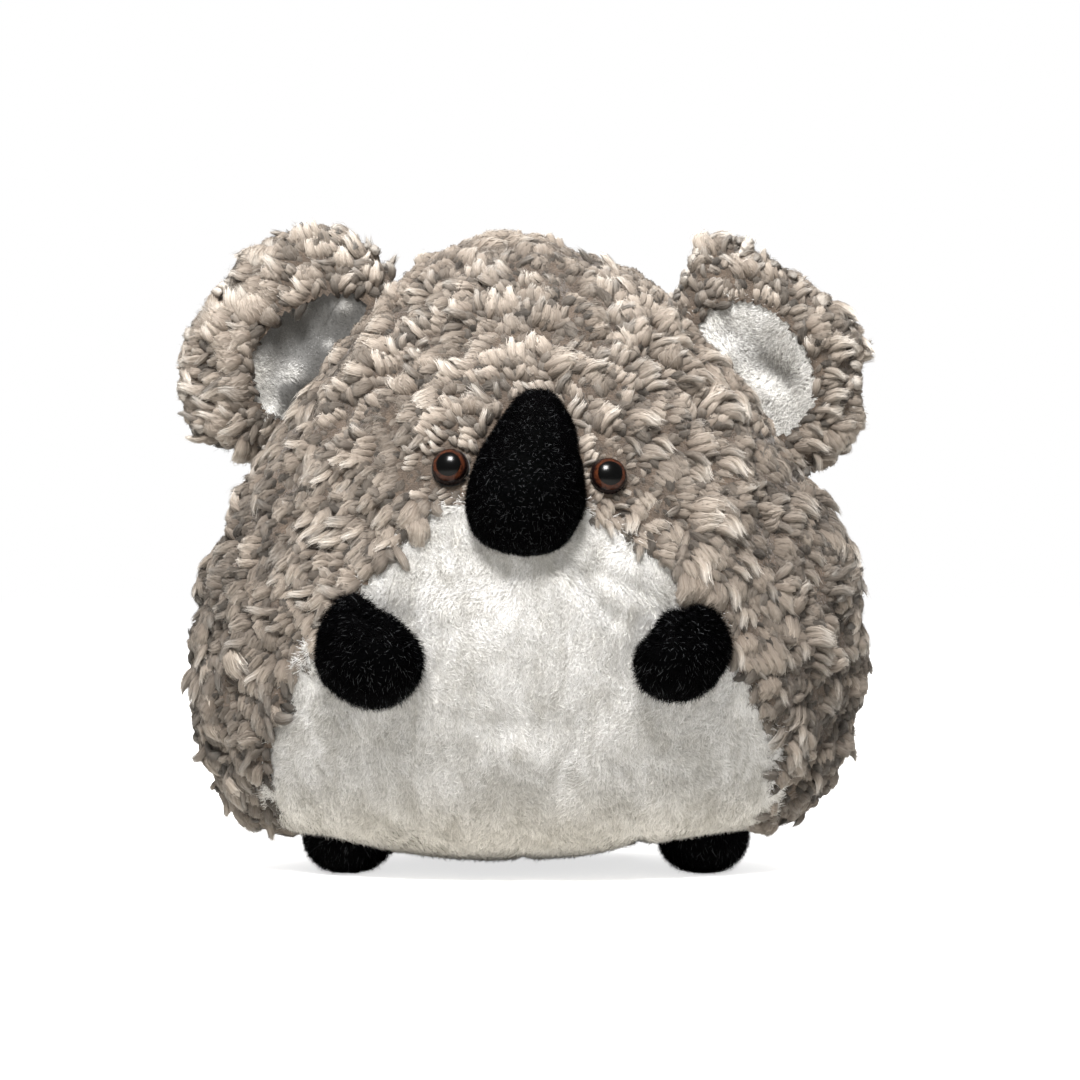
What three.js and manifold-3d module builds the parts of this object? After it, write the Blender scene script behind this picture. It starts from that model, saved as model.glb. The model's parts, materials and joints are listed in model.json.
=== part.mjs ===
// A stuffed koala cushion: a curly fleece body with a plush belly, two ears, two paws, two feet,
// a padded nose and two plastic safety eyes, each sewn or locked on as the real pieces are.
// Millimetres, +Z up. The koala faces -Y and stands on the plane Z = 0. Left and right are the viewer's.
import * as THREE from 'three';
import { mergeVertices } from 'three/addons/utils/BufferGeometryUtils.js';
import Module from 'manifold-3d';

const wasm = await Module();
wasm.setup();

// Body
const bodyWidth = 290;
const bodyHeight = 272;
const bodyFrontDepth = 82;
const bodyBackDepth = 76;
const fleecePile = 9; // curls and backing together
const plushPile = 5;
const velourPile = 4;
const sewnGap = 0.4; // between pieces that are sewn or pressed together
const sideBand = 39.5; // curly fleece left beside the belly at its widest
const bellyDrop = 112; // the belly's top edge lies this far below the crown, under the eyes
const headTilt = 3.2; // the head leans a little towards the viewer's right
const puffHeight = 5; // the curls stand in soft puffs, one at every other corner of the fleece's facets
const puffUnevenness = 0.25; // how much some puffs are lower than others
const puffClear = 46; // no puffs round the nose and eyes
const puffEarClear = 18; // nor this close to where an ear is sewn on
const puffPawClear = 24;
const puffFloorClear = 12;
const puffFade = 24; // they rise to their height over this distance

// Nose
const noseWidth = 49;
const noseHeight = 69;
const noseProjection = 19;
const noseSunk = 12; // how far its form runs in before the body cuts it
const noseDrop = 105; // below the crown, to the middle of the nose

// Eyes
const eyeDiameter = 15;
const eyeDomeHeight = 6.5;
const eyeSpacing = 64;
const eyeDrop = 104;
const eyeSink = 5.5; // the plate is pulled this far into the fleece
const eyePlateHeight = 2;
const eyePlateRim = 0.4; // the plate is this much wider than the dome
const pressedFleece = 2.5; // held between plate and washer
const shankRadius = 2;
const shankLength = 17;
const shankTip = 1.5; // plain end below the last rib
const ribHeight = 0.5;
const ribThickness = 1;
const ribPitch = 2.6;
const washerRadius = 8;
const washerThickness = 1.2;
const washerBore = 0.25; // clearance of its teeth round the shank
const washerTeeth = 6;
const washerToothDepth = 1.3;

// Ears
const earWidth = 102; // along its seam
const earReach = 58; // out from its seam
const earThickness = 28;
const earPile = 7;
const earDrop = 59; // below the crown, to the middle of the seam
const earAxisInset = 1.5; // the fold line lies this far under the fleece
const earLiningWidth = 68;
const earLiningReach = 37;
const earDish = 7;
const earLeans = { left: 4, right: 0 }; // each ear leans down from square to the head
const earFold = 30; // it bends this far forwards and back

// Paws
const pawLength = 52; // with the root that the seam takes up
const pawWidth = 43;
const pawFront = 17; // how thick it is over the line of its seam
const pawBack = 9; // how far its form runs in before the belly cuts it
const pawRise = 6; // it leans off the belly by this much towards its tip
const pawSeamDrop = 48; // below the belly's top edge, to the middle of the seam
const pawSeamLength = 32;
const pawReach = 21; // from the seam to the middle of the paw
const pawTurns = { left: 32, right: 20 }; // each paw's turn from square to its seam
const pawLift = 80; // it lifts this far off the belly

// Feet
const footWidth = 39;
const footDepth = 46;
const footHeight = 34;
const footSpacing = 150;
const footForward = 16; // from the side seam to the middle of the sole
const soleFlat = 0.5; // cut flat under each foot

// Facets
const bodySegments = 30;
const bodyRings = 18;
const fleeceSegments = 40;
const fleeceRings = 20;
const limbSegments = 16;
const limbRings = 9;
const insideShare = 0.6; // the hidden insides have fewer facets

const up = new THREE.Vector3(0, 0, 1);
const backwards = new THREE.Vector3(0, 1, 0);
const far = 1000;

// Solids

function solid(geometry) {
  const bare = geometry.clone();
  bare.deleteAttribute('normal');
  bare.deleteAttribute('uv');
  const merged = mergeVertices(bare, 1e-4);
  const corners = Array.from(merged.index.array);
  const kept = [];
  for (let i = 0; i < corners.length; i += 3) {
    const triangle = corners.slice(i, i + 3);
    if (new Set(triangle).size === 3) kept.push(...triangle);
  }
  const mesh = new wasm.Mesh({
    numProp: 3,
    vertProperties: Float32Array.from(merged.attributes.position.array),
    triVerts: Uint32Array.from(kept),
  });
  return new wasm.Manifold(mesh);
}

function surfaceOf(body) {
  const made = body.getMesh();
  const geometry = new THREE.BufferGeometry();
  geometry.setAttribute('position', new THREE.BufferAttribute(made.vertProperties, 3));
  geometry.setIndex(new THREE.BufferAttribute(made.triVerts, 1));
  return geometry;
}

function moved(body, matrix) {
  return solid(surfaceOf(body).applyMatrix4(matrix));
}

function piece(name, body, material) {
  const geometry = surfaceOf(body);
  geometry.computeVertexNormals();
  const mesh = new THREE.Mesh(geometry, material);
  mesh.name = name;
  return mesh;
}

function block(low, high) {
  const size = high.clone().sub(low);
  const middle = low.clone().add(high).multiplyScalar(0.5);
  return solid(new THREE.BoxGeometry(size.x, size.y, size.z).translate(middle.x, middle.y, middle.z));
}

// A round solid along Z from a profile of [radius, height] pairs.
function turned(profile, segments) {
  const points = profile.map(([radius, height]) => new THREE.Vector2(radius, height));
  return solid(new THREE.LatheGeometry(points, segments).rotateX(Math.PI / 2));
}

function cylinder(radius, low, high) {
  return turned([[0, low], [radius, low], [radius, high], [0, high]], limbSegments);
}

// Stuffed forms: oval sections along a Z axis, given as [height, half width, front depth, back depth]

function sectionAlong(stations, share) {
  const heights = stations.map(([z]) => new THREE.Vector3(z, 0, 0));
  const ovals = stations.map(([, width, front, back]) => new THREE.Vector3(width, front, back));
  const height = new THREE.CatmullRomCurve3(heights, false, 'catmullrom').getPoint(share).x;
  const oval = new THREE.CatmullRomCurve3(ovals, false, 'catmullrom').getPoint(share);
  const [low, high] = [stations[0][0], stations[stations.length - 1][0]];
  return {
    height: THREE.MathUtils.clamp(height, low, high),
    width: Math.max(oval.x, 0),
    front: Math.max(oval.y, 0),
    back: Math.max(oval.z, 0),
  };
}

// The triangles of a ball whose corners rise and fall by turns, each risen corner on its own.
function puffFacets(around, along) {
  const index = [];
  for (let ring = 0; ring < along; ring++) {
    for (let segment = 0; segment < around; segment++) {
      const first = ring * (around + 1) + segment;
      const [b, a, c, d] = [first, first + 1, first + around + 1, first + around + 2];
      index.push(...((ring + segment) % 2 === 0 ? [a, b, c, a, c, d] : [a, b, d, b, c, d]));
    }
  }
  return index;
}

// A ball whose rings are moved onto the sections. grow moves the surface out, or in if it is negative.
function stuffed(
  stations,
  { grow = 0, segments = limbSegments, rings = limbRings, roundness = 2, hidden = false, relief = null } = {},
) {
  const [low, high] = [stations[0][0], stations[stations.length - 1][0]];
  const middle = (low + high) / 2;
  const largest = [1, 2, 3].map((k) => Math.max(...stations.map((station) => station[k])));
  const [widthScale, frontScale, backScale] = largest.map((size) => (size + grow) / size);
  const heightScale = (high - low + 2 * grow) / (high - low);
  const detail = hidden ? insideShare : 1;
  const [facetsRound, facetsAlong] = [2 * Math.round((detail * segments) / 2), Math.round(detail * rings)];
  const ball = new THREE.SphereGeometry(1, facetsRound, facetsAlong);
  if (relief) ball.setIndex(puffFacets(facetsRound, facetsAlong));
  ball.rotateX(Math.PI / 2);
  const points = ball.attributes.position;
  const around = (value) => Math.sign(value) * Math.abs(value) ** (2 / roundness);
  for (let i = 0; i < points.count; i++) {
    const share = 1 - Math.acos(THREE.MathUtils.clamp(points.getZ(i), -1, 1)) / Math.PI;
    const angle = Math.atan2(points.getY(i), points.getX(i));
    const section = sectionAlong(stations, share);
    const open = share > 1e-4 && share < 1 - 1e-4 ? 1 : 0;
    const depth = Math.sin(angle) < 0 ? section.front * frontScale : section.back * backScale;
    const point = new THREE.Vector3(
      open * section.width * widthScale * around(Math.cos(angle)),
      open * depth * around(Math.sin(angle)),
      middle + (section.height - middle) * heightScale,
    );
    if (relief) {
      const outward = point.clone().setZ(point.z - middle).normalize();
      point.addScaledVector(outward, relief(point, angle, share));
    }
    points.setXYZ(i, point.x, point.y, point.z);
  }
  return solid(ball);
}

// Stations for a size, from rows that are shares of its height, half width and depths.
function stationsOf(rows, base, height, halfWidth, front, back) {
  return rows.map(([z, width, forward, behind = forward]) => [
    base + z * height,
    width * halfWidth,
    forward * front,
    behind * back,
  ]);
}

// Body form

const bodyRows = [
  [0, 0, 0, 0],
  [0, 0.19, 0.22, 0.36],
  [0.011, 0.41, 0.46, 0.57],
  [0.03, 0.62, 0.64, 0.71],
  [0.055, 0.785, 0.76, 0.8],
  [0.103, 0.905, 0.87, 0.89],
  [0.184, 0.972, 0.95, 0.96],
  [0.3, 1, 1, 1],
  [0.423, 0.986, 0.985, 0.985],
  [0.533, 0.93, 0.93, 0.94],
  [0.643, 0.8, 0.855, 0.86],
  [0.754, 0.65, 0.755, 0.75],
  [0.853, 0.515, 0.6, 0.59],
  [0.926, 0.395, 0.44, 0.43],
  [0.974, 0.245, 0.25, 0.24],
  [1, 0, 0, 0],
];
const bodyRoundness = 2.15;
const bodyStations = stationsOf(bodyRows, 0, bodyHeight, bodyWidth / 2, bodyFrontDepth, bodyBackDepth);

function bodyForm(grow, hidden = false) {
  const facets = { segments: bodySegments, rings: bodyRings, hidden };
  return stuffed(bodyStations, { grow, roundness: bodyRoundness, ...facets });
}

// Curly fleece stands in puffs all over the cover, and lies flat where something is sewn or pressed on it.
function puffed(point, angle, share) {
  const wave = Math.cos(((angle - Math.PI) * fleeceSegments) / 2) * Math.cos((1 - share) * fleeceRings * Math.PI);
  const unevenness = puffUnevenness * (1 + Math.sin(5 * angle + 37 * share)) / 2;
  const rise = (distance, clear) => THREE.MathUtils.smoothstep(distance, clear, clear + puffFade);
  const faceDistance = point.y < 0 ? Math.hypot(point.x, point.z - (bodyHeight - noseDrop)) : far;
  const beyondEar = Math.max(Math.abs(point.z - (bodyHeight - earDrop)) - earWidth / 2, 0);
  const pawDistance = Math.hypot(Math.abs(point.x) - pawSeam.x, point.y - pawSeam.y, point.z - pawSeam.z);
  const shares = [
    rise(faceDistance, puffClear),
    rise(Math.hypot(point.y, beyondEar), puffEarClear),
    rise(pawDistance, puffPawClear),
    rise(point.z, puffFloorClear),
    rise(bodyHeight - point.z, 0),
  ];
  return (puffHeight / 2) * wave * (1 - unevenness) * Math.min(...shares);
}

function fleeceForm(grow) {
  const facets = { segments: fleeceSegments, rings: fleeceRings, relief: puffed };
  return stuffed(bodyStations, { grow, roundness: bodyRoundness, ...facets });
}

function bodySection(height) {
  let [below, above] = [0, 1];
  while (above - below > 1e-5) {
    const middle = (below + above) / 2;
    if (sectionAlong(bodyStations, middle).height < height) below = middle;
    else above = middle;
  }
  return sectionAlong(bodyStations, above);
}

// The point of the body's front at x and height, and the direction that the surface faces there.
function frontPoint(x, height) {
  const { width, front } = bodySection(height);
  const across = Math.min(Math.abs(x) / width, 0.99) ** bodyRoundness;
  return new THREE.Vector3(x, -front * (1 - across) ** (1 / bodyRoundness), height);
}

function frontNormal(x, height) {
  const step = 2;
  const across = frontPoint(x + step, height).sub(frontPoint(x - step, height));
  const along = frontPoint(x, height + step).sub(frontPoint(x, height - step));
  return across.cross(along).normalize();
}

const frontHalf = block(new THREE.Vector3(-far, -far, -far), new THREE.Vector3(far, -sewnGap / 2, far));
const backHalf = block(new THREE.Vector3(-far, sewnGap / 2, -far), new THREE.Vector3(far, far, far));
const aboveFloor = block(new THREE.Vector3(-far, -far, 0), new THREE.Vector3(far, far, far));

// Belly opening: a bell-shaped outline cut through the front cover

const bellyHalf = bodyWidth / 2 - sideBand;
const bellyTop = bodyHeight - bellyDrop;
const bellyRows = [
  // share of the belly's half width and of its top height
  [0.2, 0.99],
  [0.36, 0.945],
  [0.49, 0.87],
  [0.66, 0.765],
  [0.83, 0.61],
  [0.95, 0.45],
  [1, 0.3],
  [0.985, 0.2],
  [0.915, 0.1],
  [0.83, 0.02],
];

function bellyArch(grow) {
  const half = bellyRows.map(([x, z]) => new THREE.Vector2(x * bellyHalf + grow, z * bellyTop));
  const otherHalf = half.map((point) => new THREE.Vector2(-point.x, point.y)).reverse();
  return new THREE.SplineCurve([...otherHalf, new THREE.Vector2(0, bellyTop + grow), ...half]);
}

function bellyZone(grow) {
  const arch = bellyArch(grow).getPoints(30);
  const outline = new THREE.Shape(arch);
  outline.lineTo(arch[arch.length - 1].x, -far);
  outline.lineTo(arch[0].x, -far);
  outline.closePath();
  return solid(new THREE.ExtrudeGeometry(outline, { depth: far, bevelEnabled: false }).rotateX(Math.PI / 2));
}

function bellyEdge(side, height) {
  const arch = bellyArch(0);
  let [below, above] = [1, 0.5];
  while (below - above > 1e-5) {
    const middle = (below + above) / 2;
    if (arch.getPoint(middle).y < height) below = middle;
    else above = middle;
  }
  return frontPoint(side * arch.getPoint(above).x, height);
}

const pawSeam = bellyEdge(1, bellyTop - pawSeamDrop);

// The body as its limbs and nose meet it: fleece all round, with the plush belly lying lower.
function bodySurface(clearance) {
  const fleece = fleeceForm(clearance).subtract(bellyZone(-clearance));
  return fleece.add(bodyForm(clearance + plushPile - fleecePile));
}

const bodyWithGap = bodySurface(sewnGap);

// Materials

function fabric(colour, roughness) {
  return new THREE.MeshStandardMaterial({ color: colour, roughness, metalness: 0 });
}

const curlyFleece = fabric('#b3a597', 0.95);
const whitePlush = fabric('#e9e7e2', 0.9);
const blackVelour = fabric('#0b0b0c', 0.85);
const fibreFilling = fabric('#f4f3ef', 1);
const amberEye = fabric('#5a2412', 0.1);
const blackPlastic = fabric('#101010', 0.3);
const whitePlastic = fabric('#e6e6e0', 0.5);

// Places

// A frame with its Z along a direction and its Y as near as can be to another.
function frame(origin, direction, other) {
  const z = direction.clone().normalize();
  const x = other.clone().cross(z).normalize();
  const y = z.clone().cross(x);
  return new THREE.Matrix4().makeBasis(x, y, z).setPosition(origin);
}

function groupAt(place, ...pieces) {
  const group = new THREE.Group();
  group.applyMatrix4(place);
  group.add(...pieces);
  return group;
}

const tilt = THREE.MathUtils.degToRad(headTilt);

// A point of the face, turned with the head about the middle of the body.
function onFace(x, height) {
  const pivot = new THREE.Vector3(0, 0, bodyHeight / 2);
  const turned = new THREE.Vector3(x, 0, height).sub(pivot).applyAxisAngle(backwards, tilt).add(pivot);
  return frontPoint(turned.x, turned.z);
}

// The body as it lies in a limb's own frame, while the limb turns about its X axis between two angles.
function bodySeenFrom(place, from = 0, to = 0) {
  const toLimb = place.clone().invert();
  const steps = from === to ? 0 : 2;
  const views = Array.from({ length: steps + 1 }, (_, i) => {
    const degrees = THREE.MathUtils.lerp(from, to, i / Math.max(steps, 1));
    const turn = new THREE.Matrix4().makeRotationX(-THREE.MathUtils.degToRad(degrees));
    return moved(bodyWithGap, turn.multiply(toLimb));
  });
  return views.reduce((whole, view) => whole.add(view));
}

// A sewn cover and the filling in it, both cut by what they rest on.
function stuffedPieces(name, form, pile, restsOn, material) {
  const cover = form(0).subtract(form(-pile, true)).subtract(restsOn);
  const filling = form(-pile - sewnGap, true).subtract(restsOn);
  return [piece(`${name}_cover`, cover, material), piece(`${name}_filling`, filling, fibreFilling)];
}

// Eyes: a dome on a black plate, whose ribbed shank goes through the fleece into a lock washer

const eyeRadius = eyeDiameter / 2;
const plateRadius = eyeRadius + eyePlateRim;
const fleeceBack = -sewnGap - pressedFleece;
const washerTop = fleeceBack - sewnGap;
const washerBack = washerTop - washerThickness;

function eyePlace(side) {
  const seat = onFace((side * eyeSpacing) / 2, bodyHeight - eyeDrop);
  const outward = frontNormal(seat.x, seat.z);
  return frame(seat.addScaledVector(outward, -eyeSink), outward, up);
}

function eyeDome() {
  const base = eyePlateHeight + sewnGap;
  const steps = 6;
  const profile = [[0, base]];
  for (let i = 0; i < steps; i++) {
    const angle = (i / steps) * (Math.PI / 2);
    profile.push([eyeRadius * Math.cos(angle), base + eyeDomeHeight * Math.sin(angle)]);
  }
  profile.push([0, base + eyeDomeHeight]);
  return turned(profile, 24);
}

function eyeShank() {
  const profile = [[0, eyePlateHeight], [plateRadius, eyePlateHeight], [plateRadius, 0], [shankRadius, 0]];
  const firstRib = washerBack - sewnGap;
  for (let top = firstRib; top - ribThickness > -shankLength + shankTip; top -= ribPitch) {
    profile.push([shankRadius, top]);
    profile.push([shankRadius + ribHeight, top]);
    profile.push([shankRadius, top - ribThickness]);
  }
  profile.push([shankRadius, -shankLength], [0, -shankLength]);
  return turned(profile.reverse(), 16);
}

// The washer's teeth close round the shank and catch on the rib behind them.
function eyeWasher() {
  const disc = new THREE.Shape().absarc(0, 0, washerRadius, 0, 2 * Math.PI, false);
  const hole = new THREE.Path();
  const points = [];
  for (let i = 0; i < washerTeeth * 2; i++) {
    const radius = shankRadius + washerBore + (i % 2) * washerToothDepth;
    const angle = (i / washerTeeth) * Math.PI;
    points.push(new THREE.Vector2(radius * Math.cos(angle), radius * Math.sin(angle)));
  }
  hole.setFromPoints(points);
  hole.closePath();
  disc.holes.push(hole);
  const flat = new THREE.ExtrudeGeometry(disc, { depth: washerThickness, bevelEnabled: false });
  return solid(flat.translate(0, 0, washerBack));
}

// What the cover and the filling leave free for an eye.
function eyeRoom(side) {
  const socket = cylinder(plateRadius + sewnGap, -sewnGap, far);
  const bore = cylinder(shankRadius + ribHeight + sewnGap, -shankLength, far);
  const washerRoom = cylinder(washerRadius + sewnGap, -shankLength - sewnGap, fleeceBack);
  return moved(socket.add(bore).add(washerRoom), eyePlace(side));
}

function eye(name, side) {
  return groupAt(
    eyePlace(side),
    piece(`${name}_eye_dome`, eyeDome(), amberEye),
    piece(`${name}_eye_shank`, eyeShank(), blackPlastic),
    piece(`${name}_eye_washer`, eyeWasher(), whitePlastic),
  );
}

// Body: front and back covers, the plush belly between them, and the filling

function body() {
  const eyeRooms = eyeRoom(-1).add(eyeRoom(1));
  const inside = bodyForm(-fleecePile, true);
  const fleece = fleeceForm(0).subtract(inside);
  const plush = bodyForm(plushPile - fleecePile).subtract(inside);
  const front = fleece.intersect(frontHalf).subtract(bellyZone(sewnGap)).subtract(eyeRooms);
  const belly = plush.intersect(frontHalf).intersect(bellyZone(0));
  const filling = bodyForm(-fleecePile - sewnGap, true).subtract(eyeRooms);
  return [
    piece('back_panel', fleece.intersect(backHalf), curlyFleece),
    piece('front_panel', front, curlyFleece),
    piece('belly_panel', belly, whitePlush),
    piece('body_filling', filling, fibreFilling),
  ];
}

// Nose: a tall padded oval, narrow at the top and fullest low down

const noseRows = [
  [0, 0, 0],
  [0.03, 0.48, 0.36],
  [0.1, 0.76, 0.64],
  [0.22, 0.94, 0.88],
  [0.34, 1, 1],
  [0.46, 0.94, 0.98],
  [0.58, 0.84, 0.92],
  [0.73, 0.68, 0.8],
  [0.87, 0.48, 0.58],
  [0.96, 0.28, 0.34],
  [1, 0, 0],
];

function nose() {
  const seat = onFace(0, bodyHeight - noseDrop);
  const outward = frontNormal(seat.x, seat.z);
  const upward = up.clone().applyAxisAngle(backwards, tilt).projectOnPlane(outward);
  const place = frame(seat, upward, outward.clone().negate());
  const stations = stationsOf(noseRows, -noseHeight / 2, noseHeight, noseWidth / 2, noseProjection, noseSunk);
  const form = (grow, hidden) => stuffed(stations, { grow, hidden });
  return groupAt(place, ...stuffedPieces('nose', form, velourPile, bodySeenFrom(place), blackVelour));
}

// Ears: flat at the seam, full towards the rim, with a white lining sunk in the front

const earRows = [
  [-0.25, 0, 0],
  [-0.22, 0.5, 0.35],
  [-0.1, 0.88, 0.52],
  [0.04, 0.95, 0.64],
  [0.22, 0.99, 0.82],
  [0.43, 0.97, 0.97],
  [0.64, 0.84, 0.98],
  [0.82, 0.61, 0.8],
  [0.94, 0.35, 0.5],
  [1, 0, 0],
];

function earPlace(name, side) {
  const step = 6;
  const edge = (height) => new THREE.Vector3(side * bodySection(height).width, 0, height);
  const level = bodyHeight - earDrop;
  const height = level - side * Math.sin(tilt) * bodySection(level).width;
  const along = edge(height + step).sub(edge(height - step));
  const outward = along.cross(backwards).multiplyScalar(-side).normalize();
  outward.applyAxisAngle(backwards, side * THREE.MathUtils.degToRad(earLeans[name]));
  return frame(edge(height).addScaledVector(outward, -earAxisInset), outward, backwards);
}

function earHollow(grow) {
  const dish = new THREE.SphereGeometry(1, limbSegments, limbRings);
  dish.scale(earLiningWidth / 2 + grow, earDish + grow, earLiningReach + grow);
  return solid(dish.translate(0, -earThickness / 2, 0));
}

function ear(name, side) {
  const place = earPlace(name, side);
  const body = bodySeenFrom(place, -earFold, earFold);
  const half = earThickness / 2;
  const stations = stationsOf(earRows, 0, earReach, earWidth / 2, half, half);
  const form = (grow, hidden) => stuffed(stations, { grow, hidden });
  const lined = body.add(earHollow(plushPile + sewnGap));
  const lining = earHollow(plushPile).intersect(form(0)).subtract(earHollow(0)).subtract(body);
  return groupAt(
    place,
    ...stuffedPieces(`${name}_ear`, form, earPile, lined, curlyFleece),
    piece(`${name}_ear_lining`, lining, whitePlush),
  );
}

// Paws: pads that hang from the side seams of the belly and lie on it

const pawRows = [
  [0, 0, 0, 0],
  [0.07, 0.52, 0.14, 0.3],
  [0.17, 0.8, 0.34, 0.55],
  [0.29, 0.94, 0.62, 0.8],
  [0.43, 1, 0.88, 0.95],
  [0.59, 0.99, 1, 1],
  [0.75, 0.89, 0.95, 0.95],
  [0.88, 0.68, 0.74, 0.75],
  [0.965, 0.4, 0.42, 0.45],
  [1, 0, 0, 0],
];

function pawPlace(side) {
  const seamHeight = pawSeam.z;
  const upper = bellyEdge(side, seamHeight + pawSeamLength / 2);
  const lower = bellyEdge(side, seamHeight - pawSeamLength / 2);
  const along = lower.clone().sub(upper).normalize();
  const middle = upper.clone().add(lower).multiplyScalar(0.5);
  const inward = along.clone().cross(backwards).multiplyScalar(-side).setY(0).normalize();
  const under = middle.clone().addScaledVector(inward, pawReach + pawLength / 4);
  const away = frontPoint(under.x, under.z).sub(middle).projectOnPlane(along);
  const back = away.clone().cross(along).multiplyScalar(-side);
  return frame(middle, away, back);
}

function paw(name, side) {
  const place = pawPlace(side);
  const body = bodySeenFrom(place, 0, pawLift);
  const stations = stationsOf(pawRows, -pawLength / 2, pawLength, pawWidth / 2, pawFront, pawBack);
  const [rise, turn] = [pawRise, -side * pawTurns[name]].map(THREE.MathUtils.degToRad);
  const lie = new THREE.Matrix4().makeRotationX(rise).multiply(new THREE.Matrix4().makeTranslation(0, 0, pawReach));
  lie.multiply(new THREE.Matrix4().makeRotationY(turn));
  const form = (grow, hidden) => moved(stuffed(stations, { grow, hidden }), lie);
  return groupAt(place, ...stuffedPieces(`${name}_paw`, form, velourPile, body, blackVelour));
}

// Feet: stubs sewn under the front edge, with flat soles

const footRows = [
  [0, 0, 0],
  [0.03, 0.36, 0.36],
  [0.12, 0.68, 0.68],
  [0.28, 0.92, 0.92],
  [0.48, 1, 1],
  [0.7, 0.92, 0.92],
  [0.88, 0.68, 0.68],
  [0.97, 0.36, 0.36],
  [1, 0, 0],
];

function foot(name, side) {
  const place = new THREE.Matrix4().makeTranslation((side * footSpacing) / 2, -footForward, 0);
  const half = footDepth / 2;
  const stations = stationsOf(footRows, -soleFlat, footHeight, footWidth / 2, half, half);
  const form = (grow, hidden) => stuffed(stations, { grow, hidden }).intersect(aboveFloor);
  return groupAt(place, ...stuffedPieces(`${name}_foot`, form, velourPile, bodySeenFrom(place), blackVelour));
}

// The whole cushion, with its origin under the middle of its box

const koala = new THREE.Group();
koala.add(...body(), nose());
for (const [name, side] of [['left', -1], ['right', 1]]) {
  koala.add(eye(name, side), ear(name, side), paw(name, side), foot(name, side));
}

const box = new THREE.Box3().setFromObject(koala, true);
const centre = box.getCenter(new THREE.Vector3());
koala.position.set(-centre.x, -centre.y, -box.min.z);

export default koala;
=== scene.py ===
"""A stuffed koala cushion in curly fleece, white plush and black velour, dressed round its CAD frame.

Sizes are millimetres in the maker's frame, the same as the solid model's: the side seam is the plane
Y = 0, the koala faces -Y and stands on Z = 0. Left and right are the viewer's.
"""

from __future__ import annotations

import json
import logging
import math
from collections.abc import Callable, Iterable, Sequence
from dataclasses import dataclass, field, replace
from enum import Enum
from itertools import product

import bpy
import numpy as np
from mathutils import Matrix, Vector
from mathutils.bvhtree import BVHTree

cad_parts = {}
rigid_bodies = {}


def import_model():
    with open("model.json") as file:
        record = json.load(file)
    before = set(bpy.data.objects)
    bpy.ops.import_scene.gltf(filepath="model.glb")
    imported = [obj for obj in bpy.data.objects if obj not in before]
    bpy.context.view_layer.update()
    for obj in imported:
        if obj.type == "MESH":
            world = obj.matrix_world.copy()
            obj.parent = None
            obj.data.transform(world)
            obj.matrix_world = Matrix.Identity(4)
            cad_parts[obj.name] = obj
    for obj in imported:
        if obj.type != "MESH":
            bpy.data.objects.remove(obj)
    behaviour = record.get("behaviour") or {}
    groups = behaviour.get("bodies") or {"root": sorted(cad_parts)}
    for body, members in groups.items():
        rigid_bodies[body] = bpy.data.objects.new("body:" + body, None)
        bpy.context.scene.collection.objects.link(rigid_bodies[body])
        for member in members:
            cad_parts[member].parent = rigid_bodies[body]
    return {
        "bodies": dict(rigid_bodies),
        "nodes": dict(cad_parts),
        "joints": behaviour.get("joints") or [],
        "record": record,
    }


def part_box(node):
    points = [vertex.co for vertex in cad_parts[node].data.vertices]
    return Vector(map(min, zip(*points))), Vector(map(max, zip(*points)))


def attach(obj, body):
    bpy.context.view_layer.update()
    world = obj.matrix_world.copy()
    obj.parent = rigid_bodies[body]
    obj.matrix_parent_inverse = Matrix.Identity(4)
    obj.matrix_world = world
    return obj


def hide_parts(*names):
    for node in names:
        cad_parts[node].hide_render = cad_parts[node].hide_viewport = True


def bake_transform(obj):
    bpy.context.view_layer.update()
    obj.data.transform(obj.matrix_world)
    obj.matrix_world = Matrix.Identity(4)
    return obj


Array = np.ndarray
Colour = tuple[float, float, float]
Pair = tuple[float, float]
Spot = tuple[float, float, float]
Outline = tuple[Pair, ...]
Flow = Callable[[Array, Array], Array]
Zone = Callable[[Array], Array]
Socket = bpy.types.NodeSocket

log = logging.getLogger("koala_cushion")
MM = 0.001
UP = np.array((0.0, 0.0, 1.0))
DOWN = np.array((0.0, 0.0, -1.0))
BACKWARDS = np.array((0.0, 1.0, 0.0))
FULL_TURN = 2 * math.pi
SECTORS = 48


class Side(Enum):
    """The two sides of the cushion, as the viewer sees them."""

    LEFT = "left"
    RIGHT = "right"

    @property
    def sign(self) -> float:
        """-1 on the left, 1 on the right."""
        return -1.0 if self is Side.LEFT else 1.0


# Numbers


def unit(vectors: Array) -> Array:
    """Scales each row to length one."""
    return vectors / np.maximum(np.linalg.norm(vectors, axis=-1, keepdims=True), 1e-9)


def ease(value: Array | float) -> Array:
    """A smooth step from 0 to 1 as the value goes from 0 to 1."""
    held = np.clip(value, 0.0, 1.0)
    return held * held * (3.0 - 2.0 * held)


def hump(value: Array, middle: float, size: float) -> Array:
    """A smooth rise to 1 at a middle, which falls away over a size."""
    return np.exp(-(((value - middle) / size) ** 2))


def along_surface(vectors: Array, normals: Array) -> Array:
    """Lays vectors flat on a surface, as unit vectors square to its normals."""
    return unit(vectors - normals * np.sum(vectors * normals, axis=1, keepdims=True))


def turned(vectors: Array, axes: Array, angles: Array) -> Array:
    """Turns each vector round its own unit axis, which it is square to, by an angle in radians."""
    angles = np.asarray(angles)[:, None]
    return vectors * np.cos(angles) + np.cross(axes, vectors) * np.sin(angles)


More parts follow.
